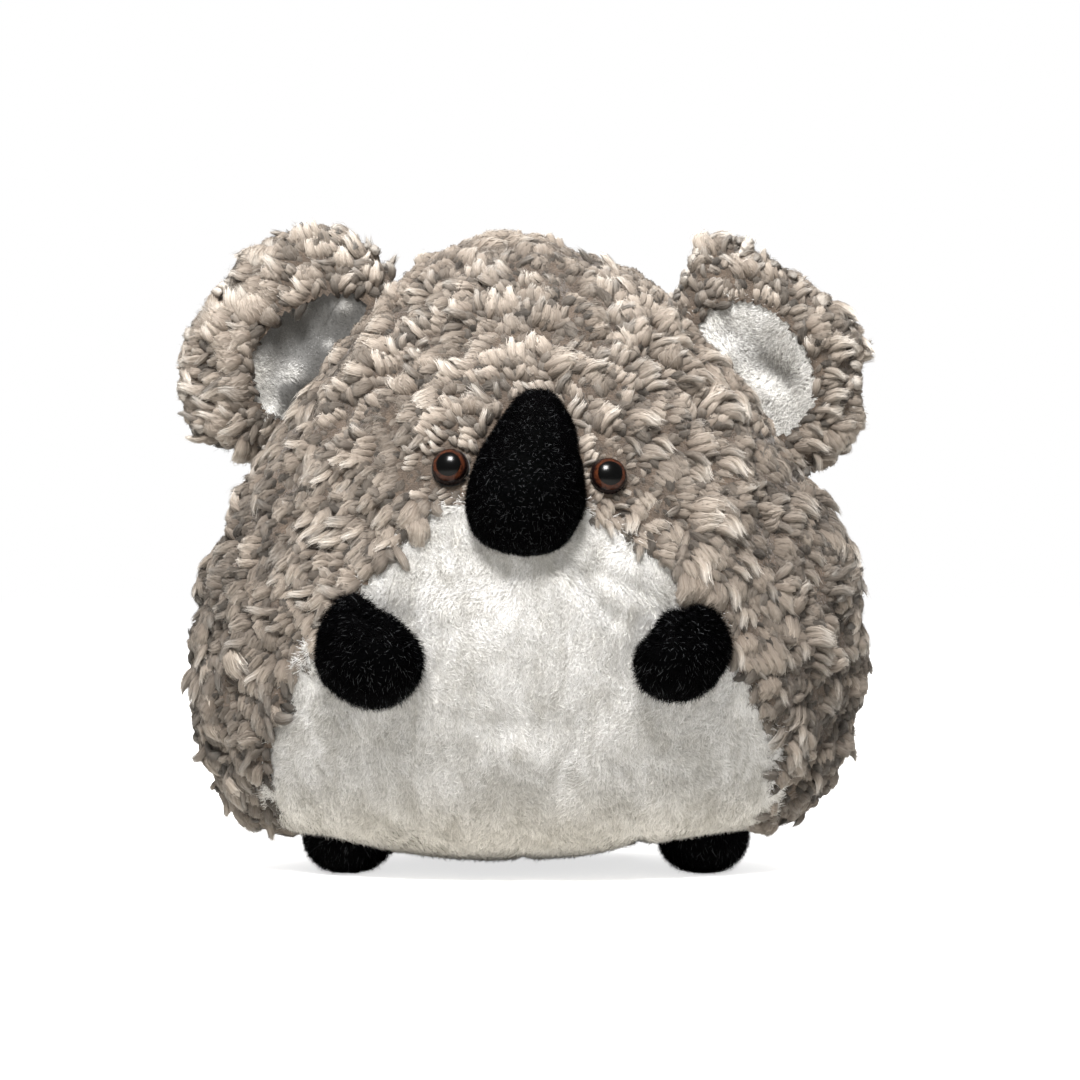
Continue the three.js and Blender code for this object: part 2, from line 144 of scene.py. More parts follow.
def spline(points: Array, share: Array) -> Array:
    """Runs a smooth curve through points.

    Args:
        points: Rows that the curve passes through.
        share: Where on the curve, from 0 to 1.

    Returns:
        One row for each share.
    """
    last = len(points) - 1
    at = np.clip(share, 0.0, 1.0) * last
    low = np.minimum(at.astype(int), last - 1)
    part = (at - low)[:, None]
    one, two = points[low], points[low + 1]
    before = np.where((low > 0)[:, None], points[np.maximum(low - 1, 0)], 2 * points[0] - points[1])
    after = np.where((low + 2 <= last)[:, None], points[np.minimum(low + 2, last)], 2 * points[-1] - points[-2])
    leave, arrive = 0.5 * (two - before), 0.5 * (after - one)
    cubic = 2 * one - 2 * two + leave + arrive
    square = -3 * one + 3 * two - 2 * leave - arrive
    return ((cubic * part + square) * part + leave) * part + one


class Grain:
    """Smooth random values in space, the same in every run."""

    def __init__(self, seed: int) -> None:
        """Draws the table of values.

        Args:
            seed: Which grain this is.
        """
        draw = np.random.default_rng(seed)
        self.order = draw.permutation(256)
        self.values = draw.uniform(-1.0, 1.0, 256)

    def at(self, points: Array, size: float) -> Array:
        """Reads the grain.

        Args:
            points: Places in millimetres, one a row.
            size: How far apart the lumps lie, in millimetres.

        Returns:
            A value from -1 to 1 for each place.
        """
        scaled = points / size
        cell = np.floor(scaled).astype(int)
        part = ease(scaled - cell)
        total = np.zeros(len(points))
        for corner in np.ndindex(2, 2, 2):
            at = (cell + corner) & 255
            value = self.values[self.order[(self.order[(self.order[at[:, 0]] + at[:, 1]) & 255] + at[:, 2]) & 255]]
            total += value * np.prod(np.where(corner, part, 1.0 - part), axis=1)
        return total


@dataclass(frozen=True)
class Place:
    """Where a sub-assembly sits: an origin and three axes."""

    origin: Array
    axes: Array

    def out(self, points: Array) -> Array:
        """Takes points from this place to the maker's frame."""
        return points @ self.axes.T + self.origin

    def turn(self, vectors: Array) -> Array:
        """Takes directions from this place to the maker's frame."""
        return vectors @ self.axes.T

    def into(self, points: Array) -> Array:
        """Takes points of the maker's frame into this place."""
        return (points - self.origin) @ self.axes


# Meshes


@dataclass
class Patch:
    """Points, faces and values of a piece before it is a mesh."""

    points: Array
    quads: Array = field(default_factory=lambda: np.zeros((0, 4), int))
    triangles: Array = field(default_factory=lambda: np.zeros((0, 3), int))
    values: dict[str, Array] = field(default_factory=dict)
    normals: Array | None = None

    @staticmethod
    def joined(parts: Iterable[Patch]) -> Patch:
        """Puts patches that carry the same values into one.

        Args:
            parts: The patches.

        Returns:
            One patch.
        """
        parts = list(parts)
        starts = np.cumsum([0] + [len(part.points) for part in parts])
        held = all(part.normals is not None for part in parts)
        return Patch(
            np.concatenate([part.points for part in parts]),
            np.concatenate([part.quads + start for part, start in zip(parts, starts)]),
            np.concatenate([part.triangles + start for part, start in zip(parts, starts)]),
            {name: np.concatenate([part.values[name] for part in parts]) for name in parts[0].values},
            np.concatenate([part.normals for part in parts]) if held else None,
        )

    def corners(self) -> Array:
        """All faces as triangles."""
        quads = self.quads
        return np.concatenate([quads[:, [0, 1, 2]], quads[:, [0, 2, 3]], self.triangles])

    def facing(self) -> Array:
        """The smooth normal at each point.

        Returns:
            Unit vectors.
        """
        corners = self.corners()
        one, two, three = (self.points[corners[:, k]] for k in range(3))
        faces = np.cross(two - one, three - one)
        normals = np.zeros_like(self.points)
        for k in range(3):
            np.add.at(normals, corners[:, k], faces)
        return unit(normals)

    def put(self, place: Place) -> Patch:
        """The same patch taken out of a place."""
        normals = None if self.normals is None else place.turn(self.normals)
        return Patch(place.out(self.points), self.quads, self.triangles, self.values, normals)


class Surface:
    """A patch that points can be drawn from and set down on."""

    def __init__(self, patch: Patch) -> None:
        """Measures the patch.

        Args:
            patch: The cloth that pile grows from.
        """
        self.patch = patch
        self.corners = patch.corners()
        self.normals = patch.facing()
        one, two, three = (patch.points[self.corners[:, k]] for k in range(3))
        areas = np.linalg.norm(np.cross(two - one, three - one), axis=1) / 2
        self.area = float(areas.sum())
        self.reach = np.cumsum(areas) / self.area
        self.tree = BVHTree.FromPolygons(patch.points.tolist(), self.corners.tolist())

    def draw(self, per_area: float, rng: np.random.Generator) -> tuple[Array, Array]:
        """Draws points evenly over the surface.

        Args:
            per_area: Points for a square millimetre.
            rng: The source of the draws.

        Returns:
            The points and their normals.
        """
        count = int(self.area * per_area)
        chosen = self.corners[np.searchsorted(self.reach, rng.random(count) * 0.999999)]
        mix = rng.random((count, 2))
        mix = np.where(mix.sum(axis=1, keepdims=True) > 1, 1 - mix, mix)
        shares = np.column_stack([1 - mix.sum(axis=1), mix])[:, :, None]
        points = np.sum(self.patch.points[chosen] * shares, axis=1)
        return points, unit(np.sum(self.normals[chosen] * shares, axis=1))

    def seat(self, points: Array) -> tuple[Array, Array]:
        """Moves points to the nearest place on the surface, and gives the normals there too."""
        found = [self.tree.find_nearest(Vector(point)) for point in points]
        return np.array([hit[0] for hit in found]), np.array([hit[1] for hit in found])


def spread(points: Array, spacing: float) -> Array:
    """Thins points until none are closer than a spacing.

    Args:
        points: One a row, in random order.
        spacing: Millimetres.

    Returns:
        The indices of the points that stay.
    """
    cells: dict[tuple[int, int, int], list[int]] = {}
    near = tuple(product((-1, 0, 1), repeat=3))
    kept: list[int] = []
    rows, limit = points.tolist(), spacing * spacing
    for i, (x, y, z) in enumerate(np.floor(points / spacing).astype(int).tolist()):
        px, py, pz = rows[i]
        others = (rows[k] for a, b, c in near for k in cells.get((x + a, y + b, z + c), ()))
        if all((px - qx) ** 2 + (py - qy) ** 2 + (pz - qz) ** 2 >= limit for qx, qy, qz in others):
            cells.setdefault((x, y, z), []).append(i)
            kept.append(i)
    return np.array(kept, int)


def read_round(angle: Array, turns: Array, sizes: Array, shifts: Sequence[float]) -> Array:
    """Reads sizes that are given at rising turns round a circle, averaged over small shifts, all in radians."""
    turns = np.concatenate([turns - FULL_TURN, turns, turns + FULL_TURN])
    return np.mean([np.interp(angle + shift, turns, np.tile(sizes, 3)) for shift in shifts], axis=0)


def reach_at(outline: Outline, middle: Array, angle: Array) -> Array:
    """How far an outline lies from its middle, a little rounded off.

    Args:
        outline: The outline's corners.
        middle: A point inside it.
        angle: Directions from the middle, in radians.

    Returns:
        The distance in each direction.
    """
    loop = np.array(outline) - middle
    turns = np.unwrap(np.arctan2(loop[:, 1], loop[:, 0]))
    order = np.argsort(turns)
    return read_round(angle, turns[order], np.linalg.norm(loop, axis=1)[order], np.linspace(-0.16, 0.16, 7))


def fitted(patch: Patch, outline: Outline, inside: float) -> Patch:
    """Stretches a piece sideways and upwards so that it fills an outline, as seen from the front.

    Args:
        patch: The piece in the maker's frame.
        outline: The outline in X and Z.
        inside: How far inside the outline the piece ends.

    Returns:
        The piece with its points moved.
    """
    middle = np.array(outline).mean(axis=0)
    flat = patch.points[:, [0, 2]] - middle
    angle, reach = np.arctan2(flat[:, 1], flat[:, 0]), np.linalg.norm(flat, axis=1)
    widest = np.zeros(SECTORS)
    np.maximum.at(widest, np.floor((angle + math.pi) / FULL_TURN * SECTORS).astype(int) % SECTORS, reach)
    middles = (np.arange(SECTORS) + 0.5) / SECTORS * FULL_TURN - math.pi
    smooth = read_round(angle, middles, widest, (-0.13, 0.0, 0.13))
    factor = np.clip((reach_at(outline, middle, angle) - inside) / smooth, 0.6, 1.5)
    patch.points[:, [0, 2]] = middle + flat * factor[:, None]
    return patch


def tube(rows: int, around: int) -> tuple[Array, Array]:
    """The faces between rings of points, closed in a point at each end.

    Args:
        rows: How many rings there are.
        around: Points in a ring. The two end points come after the rings.

    Returns:
        The quads between the rings and the triangles at the ends.
    """
    first, second = np.arange(around), np.roll(np.arange(around), -1)
    starts = np.arange(rows - 1)[:, None] * around
    low, step = (starts + first).ravel(), (starts + second).ravel()
    last = (rows - 1) * around
    bottom = np.column_stack([np.full(around, last + around), second, first])
    top = np.column_stack([np.full(around, last + around + 1), last + first, last + second])
    return np.column_stack([low, step, step + around, low + around]), np.concatenate([bottom, top])


@dataclass(frozen=True)
class StuffedForm:
    """Oval sections along a Z axis, as the sewn panels take when they are stuffed."""

    rows: tuple[tuple[float, ...], ...]
    base: float
    height: float
    half_width: float
    front: float
    back: float
    roundness: float = 2.0

    @property
    def stations(self) -> Array:
        """Height, half width, front and back depth of each section."""
        rows = [(z, width, deep[0], deep[-1]) for z, width, *deep in self.rows]
        return np.array(rows) * (self.height, self.half_width, self.front, self.back) + (self.base, 0, 0, 0)

    def sections(self, share: Array, grow: float = 0.0) -> Array:
        """Reads the sections.

        Args:
            share: Where along the form, from 0 to 1.
            grow: Millimetres that the surface is moved out.

        Returns:
            Height, half width, front and back depth, one row for each share.
        """
        stations = self.stations
        low, high = stations[0, 0], stations[-1, 0]
        found = spline(stations, share)
        found[:, 0] = np.clip(found[:, 0], low, high)
        found[:, 1:] = np.maximum(found[:, 1:], 0.0)
        found[:, 1:] *= 1.0 + grow / stations[:, 1:].max(axis=0)
        middle = (low + high) / 2
        found[:, 0] = middle + (found[:, 0] - middle) * (1 + 2 * grow / (high - low))
        return found

    def front_depth(self, across: Array, height: Array, grow: float = 0.0) -> Array:
        """How far the front stands off the plane Y = 0.

        Args:
            across: X of each point.
            height: Z of each point.
            grow: Millimetres that the surface is moved out.

        Returns:
            The depth at each point.
        """
        table = self.table(grow)
        width, deep = (np.interp(height, table[:, 0], table[:, k]) for k in (1, 2))
        part = np.clip(np.abs(across) / np.maximum(width, 1e-6), 0, 0.9999) ** self.roundness
        return deep * (1 - part) ** (1 / self.roundness)

    def half_span(self, height: Array, grow: float = 0.0) -> Array:
        """The half width at each height."""
        table = self.table(grow)
        return np.interp(height, table[:, 0], table[:, 1])

    def table(self, grow: float) -> Array:
        """Many sections in order of their height, to read between.

        Args:
            grow: Millimetres added all round.

        Returns:
            Rows of height and the section's measures.
        """
        table = self.sections(np.linspace(0, 1, 3001), grow)
        table[:, 0] = np.maximum.accumulate(table[:, 0])
        return table

    def ball(self, grow: float, segments: int, rings: int) -> Patch:
        """The closed form.

        Args:
            grow: Millimetres that the surface is moved out.
            segments: Faces round it.
            rings: Faces along it.

        Returns:
            The patch, in the form's own frame.
        """
        share = np.linspace(0, 1, rings + 1)[1:-1]
        angle = np.linspace(0, FULL_TURN, segments, endpoint=False)
        found = self.sections(share, grow)
        wide, deep = (np.sign(part) * np.abs(part) ** (2 / self.roundness) for part in (np.cos(angle), np.sin(angle)))
        depth = np.where(np.sin(angle)[None] < 0, found[:, 2:3], found[:, 3:4]) * deep
        shape = np.stack([found[:, 1:2] * wide, depth, np.repeat(found[:, :1], segments, axis=1)], axis=-1)
        ends = self.sections(np.array([0.0, 1.0]), grow)[:, 0]
        points = np.concatenate([shape.reshape(-1, 3), [[0, 0, ends[0]], [0, 0, ends[1]]]])
        return Patch(points, *tube(rings - 1, segments))


def keep_faces(patch: Patch, keep: Array) -> Patch:
    """Leaves out the faces whose points are not all kept, and the points that nothing uses.

    Args:
        patch: The patch to cut.
        keep: True for each point that stays.

    Returns:
        The cut patch.
    """
    quads = patch.quads[keep[patch.quads].all(axis=1)]
    triangles = patch.triangles[keep[patch.triangles].all(axis=1)]
    used = np.zeros(len(patch.points), bool)
    used[quads.ravel()] = True
    used[triangles.ravel()] = True
    number = np.cumsum(used) - 1
    values = {name: value[used] for name, value in patch.values.items()}
    normals = None if patch.normals is None else patch.normals[used]
    return Patch(patch.points[used], number[quads], number[triangles], values, normals)


def sheet(rows: Array) -> Patch:
    """A grid of points as a cloth sheet.

    Args:
        rows: Points in rows and columns.

    Returns:
        The patch.
    """
    high, wide = rows.shape[:2]
    index = np.arange(high * wide).reshape(high, wide)
    quads = np.stack([index[:-1, :-1], index[:-1, 1:], index[1:, 1:], index[1:, :-1]], axis=-1)
    return Patch(rows.reshape(-1, 3), quads.reshape(-1, 4))


def with_values(patch: Patch, along: float) -> Patch:
    """Gives plain cloth the values that a pile's material reads.

    Args:
        patch: The cloth.
        along: Where on the fibre its colour is taken.

    Returns:
        The patch with the values added.
    """
    count = len(patch.points)
    patch.values = {"along": np.full(count, along), "tone": np.full(count, 0.5)}
    return patch


def brushed(way: Array, normals: Array, swirl: Array) -> Array:
    """The lay of a pile on its cloth: one way for all of it, turned by its swirl in radians."""
    return turned(along_surface(way, normals), normals, swirl)


# Pile


@dataclass(frozen=True)
class PileCut:
    """How a short pile is cut and brushed: sizes in millimetres, angles in degrees."""

    length: float
    width: float
    lean: float
    curl: float
    stray: float
    steps: int = 2
    uneven: float = 0.22
    lean_stray: float = 9.0
    taper: float = 0.75
    sunk: float = 0.3

    def blades(
        self, roots: Array, normals: Array, lay: Array, rng: np.random.Generator, longer: Array | float = 1.0
    ) -> Patch:
        """Grows one flat fibre from each root.

        Args:
            roots: Where the fibres start.
            normals: The cloth's normals there.
            lay: The direction that the pile is brushed in.
            rng: The source of the draws.
            longer: A length factor for each fibre.

        Returns:
            The fibres, with values along and tone.
        """
        count = len(roots)
        lay = turned(lay, normals, np.radians(self.stray) * rng.standard_normal(count))
        aside = np.cross(normals, lay)
        length = self.length * np.clip(1 + self.uneven * rng.standard_normal(count), 0.5, 1.6) * longer
        start = np.radians(np.clip(self.lean + self.lean_stray * rng.standard_normal(count), 0, 85))
        bend = np.radians(self.curl) * (0.6 + 0.8 * rng.random(count))
        roll = rng.uniform(-1.1, 1.1, count)
        place = roots - self.sunk * normals
        rows, along = [], []
        for step in range(self.steps + 1):
            part = step / self.steps
            angle = (start + bend * part)[:, None]
            heading = normals * np.cos(angle) + lay * np.sin(angle)
            if step:
                place = place + heading * (length / self.steps)[:, None]
            across = turned(aside, heading, roll)
            half = across * self.width / 2 * (1.0 - self.taper * part**1.6)
            rows += [place - half, place + half]
            along += [np.full(count, part)] * 2
        points = np.stack(rows, axis=1)
        each = 2 * (self.steps + 1)
        first = np.arange(count)[:, None] * each
        pattern = np.array([[2 * k + 1, 2 * k, 2 * k + 2, 2 * k + 3] for k in range(self.steps)])
        quads = (first[:, :, None] + pattern[None]).reshape(-1, 4)
        values = {"along": np.stack(along, axis=1).ravel(), "tone": np.repeat(rng.random(count), each)}
        soft = unit(np.repeat(normals, each, axis=0) + 0.35 * np.repeat(lay, each, axis=0))
        return Patch(points.reshape(-1, 3), quads, values=values, normals=soft)


@dataclass(frozen=True)
class CurlShape:
    """One lock of the fleece: a bundle of fibres that rises from the cloth and bends over.

    Its sizes are millimetres, and its rise, droop and sweep are degrees. Its point goes from 0, blunt, to 1.
    """

    length: float
    width: float
    thickness: float
    rise: float
    droop: float
    sweep: float
    point: float
    ridges: int
    sides: int = 8
    fibres: int = 24
    root: float = 3.0
    rings: tuple[float, ...] = (0, 0.2, 0.4, 0.58, 0.74, 0.88, 0.97)
    twist: float = 0.9
    fibre_width: float = 0.4

    def path(self, share: Array) -> tuple[Array, Array]:
        """The middle line of the lock.

        Args:
            share: Where along it; past 1 it runs straight on.

        Returns:
            The points and directions, with X along the lay and Z off the cloth.
        """
        fine = np.linspace(0, 1, 65)
        lift = np.radians(self.rise - (self.rise + self.droop) * fine**0.8)
        aside = np.radians(self.sweep) * fine**1.5 + 0.32 * np.sin(8.0 * fine + self.length)
        heading = np.column_stack([np.cos(lift) * np.cos(aside), np.cos(lift) * np.sin(aside), np.sin(lift)])
        steps = (heading[1:] + heading[:-1]) / 2 * (self.length + self.root) / 64
        line = np.concatenate([[(-self.root * 0.3, 0, -self.root)], steps]).cumsum(axis=0)
        held = np.clip(share, 0, 1)
        points = np.column_stack([np.interp(held, fine, line[:, k]) for k in range(3)])
        turns = unit(np.column_stack([np.interp(held, fine, heading[:, k]) for k in range(3)]))
        return points + turns * ((share - held) * self.length)[:, None], turns

    def girth(self, share: Array) -> Array:
        """The thickness along the lock, as a share of its widest.

        Args:
            share: Shares of the lock's length.

        Returns:
            Shares from 0 to 1.
        """
        body = 0.55 + 0.45 * ease(share / 0.55)
        blunt = np.sqrt(np.clip(1 - np.clip((share - 0.66) / 0.35, 0, 1) ** 2, 0, 1))
        sharp = 1 - np.clip((share - 0.4) / 0.62, 0, 1) ** 1.5
        return body * ((1 - self.point) * blunt + self.point * sharp)

    def skin(self, share: Array, around: Array) -> Array:
        """Points on the lock's surface.

        Args:
            share: Where along the lock.
            around: The angle round it, 90 degrees being its back, in radians.

        Returns:
            The points.
        """
        line, heading = self.path(share)
        aside = unit(np.cross(UP, heading))
        girth = self.girth(share) * (1 + 0.08 * np.cos(self.ridges * around))
        around = around + self.twist * share
        wide = girth * self.width / 2 * np.cos(around)
        deep = girth * self.thickness / 2 * np.sin(around)
        return line + aside * wide[:, None] + np.cross(heading, aside) * deep[:, None]

    def patch(self, rng: np.random.Generator) -> Patch:
        """Builds the lock and the loose fibres that lie on it.

        Args:
            rng: The source of the draws.

        Returns:
            The lock, with values along, around and fibre.
        """
        turns, count = np.arange(self.sides) / self.sides, len(self.rings)
        lengths, angles = np.repeat(self.rings, self.sides), np.tile(turns, count) * FULL_TURN
        points = np.concatenate([self.skin(lengths, angles), self.path(np.array([0.0, 1.0]))[0]])
        values = {
            "along": np.append(lengths, (0, 1)),
            "around": np.append(np.tile(turns, count), (0, 0)),
            "fibre": np.zeros(len(points)),
        }
        return Patch.joined([Patch(points, *tube(count, self.sides), values), self.loose(rng)])

    def loose(self, rng: np.random.Generator) -> Patch:
        """The fibres that stand off the lock's back and run past its tip.

        Args:
            rng: The source of the draws.

        Returns:
            The fibres.
        """
        steps = np.linspace(0, 1, 4)
        parts = []
        for _ in range(self.fibres):
            angle = rng.uniform(-0.12, 1.12) * math.pi
            start, end = rng.uniform(0.1, 0.6), rng.uniform(0.85, 1.1) + rng.choice((0.0, 0.16), p=(0.65, 0.35))
            share = start + (end - start) * steps
            around = angle + rng.normal(0, 0.4) * np.sin(steps * math.pi * rng.uniform(0.6, 1.8))
            stand = 0.15 + rng.choice((0.3, 0.7, 1.8), p=(0.45, 0.35, 0.2)) * steps**1.5
            held = np.maximum(self.girth(np.clip(share, 0, 0.96)) * self.width, 1.0)
            half = np.minimum(self.fibre_width / 2 / held, 0.5) * (1 - 0.6 * steps**2)
            off = stand[:, None] * self.off(share, around)
            ribbon = sheet(np.stack([self.skin(share, around + edge) + off for edge in (-half, half)], axis=1))
            ribbon.values = {
                "along": np.repeat(np.clip(share, 0, 1), 2),
                "around": np.repeat(around / FULL_TURN, 2),
                "fibre": np.full(2 * len(steps), rng.uniform(0.35, 1.0)),
            }
            parts.append(ribbon)
        return Patch.joined(parts)

    def off(self, share: Array, around: Array) -> Array:
        """The direction off the lock's surface.

        Args:
            share: Shares of the lock's length.
            around: Angles round it.

        Returns:
            Unit vectors.
        """
        heading = self.path(share)[1]
        aside = unit(np.cross(UP, heading))
        return aside * np.cos(around)[:, None] + np.cross(heading, aside) * np.sin(around)[:, None]


class Curls:
    """Locks set out on cloth, each a copy of one shape with its own size and tone."""

    def __init__(self) -> None:
        """Starts with no locks."""
        self.lists: tuple[list[Array], ...] = tuple([] for _ in range(6))
        self.roots, self.normals, self.lays, self.sizes, self.kinds, self.tones = self.lists

    def add(self, roots: Array, normals: Array, lays: Array, sizes: Array, kinds: Array, tones: Array) -> None:
        """Adds locks: their roots, the cloth's normals, and their lays, sizes, kinds and tones."""
        for store, value in zip(self.lists, (roots, normals, lays, sizes, kinds, tones)):
            store.append(value)

    def grown(self, shapes: Sequence[Patch], keep: Zone | None = None) -> Patch:
        """Makes one patch of the locks.

        Args:
            shapes: The patch of each kind.
            keep: Which roots to take, or all of them.

        Returns:
            The locks, with values along, around, fibre and tone.
        """
        roots, normals, lays, sizes, kinds, tones = (np.concatenate(part) for part in self.lists)
        chosen = np.ones(len(roots), bool) if keep is None else keep(roots)
        parts = []
        for kind, shape in enumerate(shapes):
            picked = np.flatnonzero(chosen & (kinds == kind))
            if not len(picked):
                continue
            lay = along_surface(lays[picked], normals[picked])
            axes = np.stack([lay, np.cross(normals[picked], lay), normals[picked]], axis=2)
            axes = axes * sizes[picked][:, None, :]
            points = np.einsum("nij,vj->nvi", axes, shape.points) + roots[picked][:, None, :]
            first = (np.arange(len(picked)) * len(shape.points))[:, None, None]
            values = {name: np.tile(value, len(picked)) for name, value in shape.values.items()}
            values["tone"] = np.repeat(tones[picked], len(shape.points))
            quads = (shape.quads[None] + first).reshape(-1, 4)
            triangles = (shape.triangles[None] + first).reshape(-1, 3)
            parts.append(Patch(points.reshape(-1, 3), quads, triangles, values))
        return Patch.joined(parts)


@dataclass(frozen=True)
class Bed:
    """Where fleece grows: its cloth, its lay at points with their normals, where it may grow and how large."""

    cloth: Surface
    flow: Flow
    allowed: Zone
    scale: Zone

    def drawn(self, per_area: float, rng: np.random.Generator) -> tuple[Array, Array]:
        """Draws points of the cloth that fleece may grow at, with their normals.

        Args:
            per_area: Draws for a square millimetre.
            rng: The source of the draws.

        Returns:
            The points and their normals.
        """
        points, normals = self.cloth.draw(per_area, rng)
        keep = self.allowed(points)
        return points[keep], normals[keep]

    def lay(self, points: Array, normals: Array) -> Array:
        """The lay, flat on the cloth."""
        return along_surface(self.flow(points, normals), normals)


@dataclass(frozen=True)
class FleecePile:
    """How the curly fleece grows: rows of fat locks side by side, smaller ones between, short ones under."""

    row_spacing: float = 9.2
    fill_spacing: float = 4.6
    under_spacing: float = 3.7
    pitch: float = 3.3
    stray: float = 0.75
    swirl_size: float = 24.0
    clump_size: float = 11.0
    clump_stand: float = 2.2
    # Painted shade in the lock tones: raised clumps are painted lighter and sunk ones darker, and the locks on the
    # sides, from shaded_from outwards, are painted darker by shade.
    clump_painted_shade: float = 0.34
    shaded_from: float = 72.0
    shade: float = 0.28
    seed: int = 11

    def shapes(self) -> list[Patch]:
        """The patches of the lock shapes: four fat ones, three pointed ones and two short ones.

        Returns:
            Nine patches, each a lock at the origin.
        """
        rng = np.random.default_rng(self.seed)
        shapes = (  # length, width, thickness, rise, droop, sweep, point and ridges
            CurlShape(10.6, 4.9, 5.0, 78, 86, 8, 0.3, 4),
            CurlShape(9.8, 4.4, 4.7, 84, 74, -18, 0.45, 4),
            CurlShape(11.2, 5.0, 4.9, 72, 72, 20, 0.35, 4),
            CurlShape(11.8, 7.6, 7.0, 80, 108, -6, 0.1, 5, fibres=44),
            CurlShape(11.0, 4.2, 4.0, 64, 36, 16, 0.85, 4),
            CurlShape(11.5, 3.7, 3.6, 62, 12, -18, 1.0, 4),
            CurlShape(10.4, 4.4, 4.1, 60, 48, 34, 0.8, 4),
            CurlShape(7.6, 4.8, 4.4, 62, 62, 20, 0.35, 4, sides=6, fibres=8, root=2.5),
            CurlShape(7.0, 4.4, 4.2, 68, 54, -28, 0.5, 4, sides=6, fibres=8, root=2.5),
        )
        return [shape.patch(rng) for shape in shapes]

    @staticmethod
    def fuzz(bed: Bed, rng: np.random.Generator) -> Patch:
        """Loose curly fibres among the locks.

        Args:
            bed: Where they grow.
            rng: The source of the draws.

        Returns:
            The fibres.
        """
        roots, normals = bed.drawn(0.3, rng)
        cut = PileCut(6.5, 0.13, 24, 110, 80, 3)
        patch = cut.blades(roots, normals, bed.lay(roots, normals), rng, bed.scale(roots))
        # Painted shade: the fuzz takes only the root end of the colour ramp and darker tones, as shade among the
        # locks.
        patch.values["along"] = 0.03 + 0.36 * patch.values["along"]
        patch.values["around"] = patch.values["tone"]
        patch.values["tone"] = 0.4 * patch.values["tone"]
        patch.values["fibre"] = np.full(len(patch.points), 0.2)
        return patch

    def swirled(self, bed: Bed, points: Array, normals: Array, stray: float, rng: np.random.Generator) -> Array:
        """The lay of locks, turned by a swirl and by a stray of each one's own, 1 being some 23 degrees."""
        swirl = 1.1 * Grain(self.seed + 1).at(points, self.swirl_size)
        return turned(bed.lay(points, normals), normals, swirl + stray * 0.4 * rng.standard_normal(len(points)))

    def grow(self, bed: Bed, rng: np.random.Generator) -> Curls:
        """Sets locks out on the cloth.

        Args:
            bed: Where they grow.
            rng: The source of the draws.

        Returns:
            The locks.
        """
        curls = Curls()
        seeds, seed_normals = bed.drawn(0.45, rng)
        rows = spread(seeds, self.row_spacing)
        lays = self.swirled(bed, seeds[rows], seed_normals[rows], self.stray, rng)
        wanted, tones, headings, kept_kinds, kept_sizes = [], [], [], [], []
        for centre, normal, lay in zip(seeds[rows], seed_normals[rows], lays):
            count = rng.choice((2, 3, 4, 5, 6, 8), p=(0.12, 0.22, 0.24, 0.2, 0.14, 0.08))
            aside = np.cross(normal, lay)
            bow, tone, fan = rng.normal(0, 0.02), rng.normal(0.56, 0.17), rng.uniform(-0.1, 0.03)
            kind, size = rng.choice(7, p=(0.22, 0.2, 0.19, 0.11, 0.1, 0.08, 0.1)), rng.normal(1.12, 0.12)
            for step in (np.arange(count) - (count - 1) / 2) * self.pitch * rng.uniform(0.85, 1.05):
                slip = bow * step * step + rng.normal(0, 0.7)
                wanted.append(centre + aside * step + lay * slip)
                headings.append(lay + aside * fan * step)
                tones.append(tone + rng.normal(0, 0.09))
                kept_kinds.append(kind if rng.random() < 0.7 else rng.integers(0, 7))
                kept_sizes.append(size)
        roots, normals = bed.cloth.seat(np.array(wanted))
        keep = bed.allowed(roots)
        roots, normals = roots[keep], normals[keep]
        sizes = np.array(kept_sizes)[keep, None] * (1 + 0.08 * rng.standard_normal((len(roots), 3)))
        kinds, headings, tones = (np.array(found)[keep] for found in (kept_kinds, headings, tones))
        curls.add(roots, normals, headings, np.clip(sizes, 0.7, 1.4), kinds, tones)

        self.fill(curls, bed, seeds, seed_normals, roots, rng)
        under = spread(seeds, self.under_spacing)
        roots, normals = seeds[under], seed_normals[under]
        count = len(roots)
        sizes = np.clip(1 + 0.15 * rng.standard_normal((count, 3)), 0.7, 1.4)
        lays, kinds = self.swirled(bed, roots, normals, 1.6, rng), rng.integers(7, 9, count)
        # Painted shade: the short locks under the rows are given much darker tones.
        curls.add(roots, normals, lays, sizes, kinds, rng.normal(-0.3, 0.14, count))
        for index, roots in enumerate(curls.roots):
            clump, reach = Grain(self.seed + 2).at(roots, self.clump_size), bed.scale(roots)
            curls.sizes[index] = curls.sizes[index] * (reach * (1 + 0.2 * np.maximum(clump, -0.6)))[:, None]
            stand = self.clump_stand * reach * np.maximum(clump, -0.4)
            roots = curls.roots[index] = roots + curls.normals[index] * stand[:, None]
            # Painted shade: tones drop on the cushion's sides below the head and in sunk clumps, and rise on raised
            # clumps.
            wide = ease((np.abs(roots[:, 0]) - self.shaded_from) / 40) * (roots[:, 2] < 175)
            curls.tones[index] = np.clip(curls.tones[index] + self.clump_painted_shade * clump - self.shade * wide, -0.5, 0.7)
        return curls

